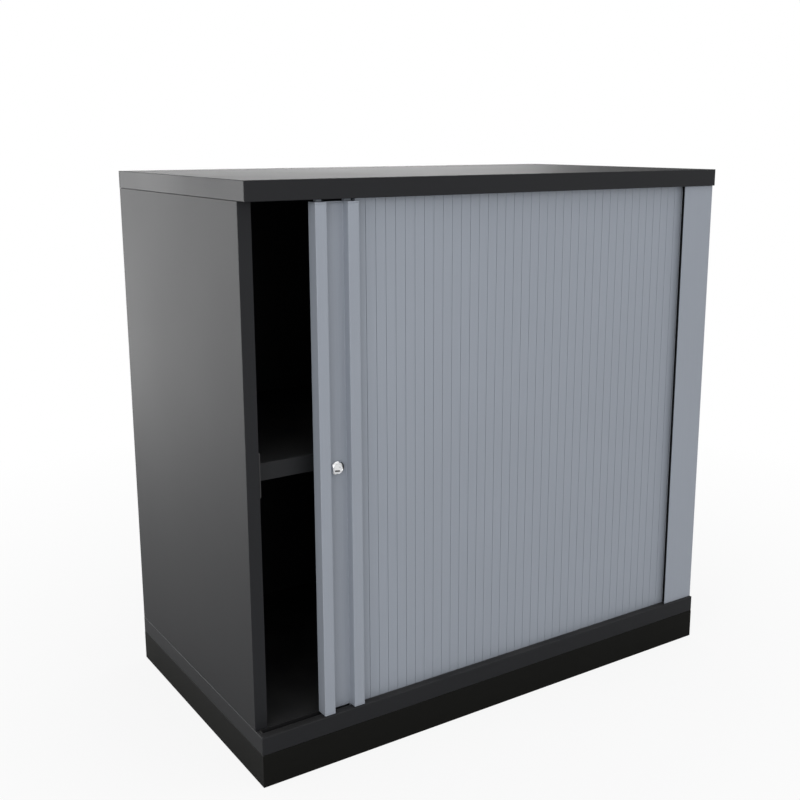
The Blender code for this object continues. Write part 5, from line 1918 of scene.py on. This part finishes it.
@dataclass(frozen=True)
class Softbox:
    """One area lamp, turned to a target."""

    name: str
    place: Point
    target: Point
    size: tuple[float, float]
    power: float
    lights: bool = True

    def build(self) -> None:
        """Add the lamp."""
        data = bpy.data.lights.new(self.name, "AREA")
        data.shape = "RECTANGLE"
        data.size, data.size_y = self.size
        data.energy = self.power
        obj = bpy.data.objects.new(self.name, data)
        obj.location = self.place
        way = Vector(self.target) - Vector(self.place)
        obj.rotation_euler = way.to_track_quat("-Z", "Y").to_euler()
        obj.visible_diffuse = self.lights
        obj.visible_camera = False
        bpy.context.scene.collection.objects.link(obj)


@dataclass
class Studio:
    """Camera, floor, world and lamps."""

    camera_place: Point = (-0.9344, -1.3866, 0.8324)
    pitch: float = 77.90
    heading: float = -33.79
    lens: float = 48.61
    shift: tuple[float, float] = (-0.0257, -0.0386)
    world_light: float = 0.78
    dim_corner: float = 0.08
    dim_start: tuple[float, float] = (0.63, 0.78)
    dim_end: tuple[float, float] = (1.3, 1.7)
    floor_reach: float = 40.0
    floor_colour: Colour = (0.60, 0.60, 0.60)
    shadow_fade: tuple[float, float] = (0.5, 1.5)
    shadow_level: float = 0.88
    mirror_fade: tuple[float, float] = (0.8, 1.8)
    left_fade: tuple[float, float] = (-0.80, -0.42)

    def camera(self) -> None:
        """Set the camera where the photograph was taken from."""
        data = bpy.data.cameras.new("camera")
        data.lens = self.lens
        data.sensor_width = 36.0
        data.shift_x, data.shift_y = self.shift
        data.clip_start, data.clip_end = 0.05, 100.0
        obj = bpy.data.objects.new("camera", data)
        obj.location = self.camera_place
        obj.rotation_euler = Euler((math.radians(self.pitch), 0, math.radians(self.heading)))
        bpy.context.scene.collection.objects.link(obj)
        bpy.context.scene.camera = obj

    @staticmethod
    def seen(shader: Shader) -> bpy.types.NodeSocket:
        """Whether a ray comes from the camera, a mirror or glass.

        Args:
            shader: The tree's helper.

        Returns:
            A socket that is 1 for such a ray.
        """
        path = shader.node("ShaderNodeLightPath").outputs
        mirrored = shader.math("MAXIMUM", path["Is Glossy Ray"], path["Is Transmission Ray"])
        return shader.math("MAXIMUM", path["Is Camera Ray"], mirrored)

    def world(self) -> None:
        """A white surround that lights the cabinet less than it shows."""
        world = bpy.data.worlds.new("studio")
        bpy.context.scene.world = world
        world.use_nodes = True
        world.node_tree.nodes.clear()
        shader = Shader(world.node_tree)
        background = shader.node("ShaderNodeBackground")
        background.inputs["Color"].default_value = (1.0, 1.0, 1.0, 1.0)
        way = shader.node("ShaderNodeSeparateXYZ")
        shader.feed(way.inputs[0], shader.node("ShaderNodeTexCoord").outputs["Generated"])
        heading = shader.math("ARCTAN2", way.outputs["X"], way.outputs["Y"])
        from_left = shader.span(heading, *self.dim_start, 0.0, 1.0)
        to_right = shader.span(heading, *self.dim_end, 1.0, 0.0)
        dimmed = shader.math("MULTIPLY", from_left, to_right)
        seen_level = shader.span(dimmed, 0.0, 1.0, 1.0, self.dim_corner)
        direct = shader.node("ShaderNodeLightPath").outputs["Is Camera Ray"]
        mirrored = shader.math("MAXIMUM", direct, seen_level)
        lit = shader.math("MULTIPLY", shader.math("SUBTRACT", 1.0, self.seen(shader)), self.world_light)
        strength = shader.math("ADD", lit, shader.math("MULTIPLY", mirrored, self.seen(shader)))
        shader.feed(background.inputs["Strength"], strength)
        output = shader.node("ShaderNodeOutputWorld")
        shader.feed(output.inputs["Surface"], background.outputs[0])

    def floor(self) -> None:
        """A pale floor that keeps the cabinet's shadow and fades to white."""
        bpy.ops.object.select_all(action="DESELECT")
        bpy.ops.mesh.primitive_plane_add(size=2 * self.floor_reach)
        obj = Bench.name(bpy.context.object, "studio_floor")
        material = bpy.data.materials.new("studio_floor")
        material.use_nodes = True
        material.node_tree.nodes.clear()
        shader = Shader(material.node_tree)
        matt = shader.node("ShaderNodeBsdfDiffuse")
        matt.inputs["Color"].default_value = opaque(self.floor_colour)
        bright = shader.node("ShaderNodeEmission")
        bright.inputs["Strength"].default_value = 1.0
        length = shader.node("ShaderNodeVectorMath", operation="LENGTH")
        shader.feed(length.inputs[0], shader.node("ShaderNodeTexCoord").outputs["Object"])
        ray = shader.node("ShaderNodeLightPath").outputs
        near = shader.span(length.outputs["Value"], *self.shadow_fade, self.shadow_level, 1.0)
        direct = shader.math("MULTIPLY", near, ray["Is Camera Ray"])
        split = shader.node("ShaderNodeSeparateXYZ")
        shader.feed(split.inputs[0], shader.node("ShaderNodeTexCoord").outputs["Object"])
        leftward = shader.span(split.outputs["X"], *self.left_fade, 1.0, 0.0)
        outward = shader.span(length.outputs["Value"], *self.mirror_fade, 0.0, 1.0)
        far = shader.math("MAXIMUM", leftward, outward)
        mirrored = shader.math("MAXIMUM", ray["Is Glossy Ray"], ray["Is Transmission Ray"])
        share = shader.math("ADD", direct, shader.math("MULTIPLY", far, mirrored))
        mixed = shader.node("ShaderNodeMixShader")
        shader.feed(mixed.inputs[0], share)
        shader.feed(mixed.inputs[1], matt.outputs[0])
        shader.feed(mixed.inputs[2], bright.outputs[0])
        output = shader.node("ShaderNodeOutputMaterial")
        shader.feed(output.inputs["Surface"], mixed.outputs[0])
        obj.data.materials.append(material)

    def build(self) -> None:
        """Set up the studio."""
        self.camera()
        self.world()
        self.floor()
        target, left, back = (0.0, 0.0, 0.4), (-0.4, 0.0, 0.55), (0.2, 0.0, 0.6)
        lamps = (
            Softbox("key_softbox", (-2.9, -2.0, 1.4), target, (2.0, 1.6), 34.0),
            Softbox("overhead_softbox", (0.2, -0.3, 2.8), target, (2.2, 2.2), 24.0),
            Softbox("front_softbox", (-0.6, -3.2, 1.0), target, (1.6, 1.6), 7.0),
            Softbox("left_sheen_softbox", (-1.30, 1.35, 0.65), left, (1.2, 1.3), 32.0, lights=False),
            Softbox("back_sheen_softbox", (2.07, 3.91, 1.3), back, (2.4, 1.2), 60.0, lights=False),
        )
        for lamp in lamps:
            lamp.build()
        bpy.context.scene.view_settings.view_transform = "Standard"


def main() -> None:
    """Build every sub-assembly and the studio."""
    logging.basicConfig(level=logging.INFO, format="%(name)s: %(message)s")
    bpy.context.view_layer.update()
    path = ShutterPath()
    for assembly in (Boards(path), Shutter(path), CoverStrip(), DoorHandle(), CylinderLock(), StrikePlate()):
        log.info("building %s", type(assembly).__name__)
        assembly.build()
    Hardware.shelf_pins()
    Hardware.fitting_cams()
    Hardware.rails_and_stops()
    Studio().build()


if __name__ == "__main__":
    main()
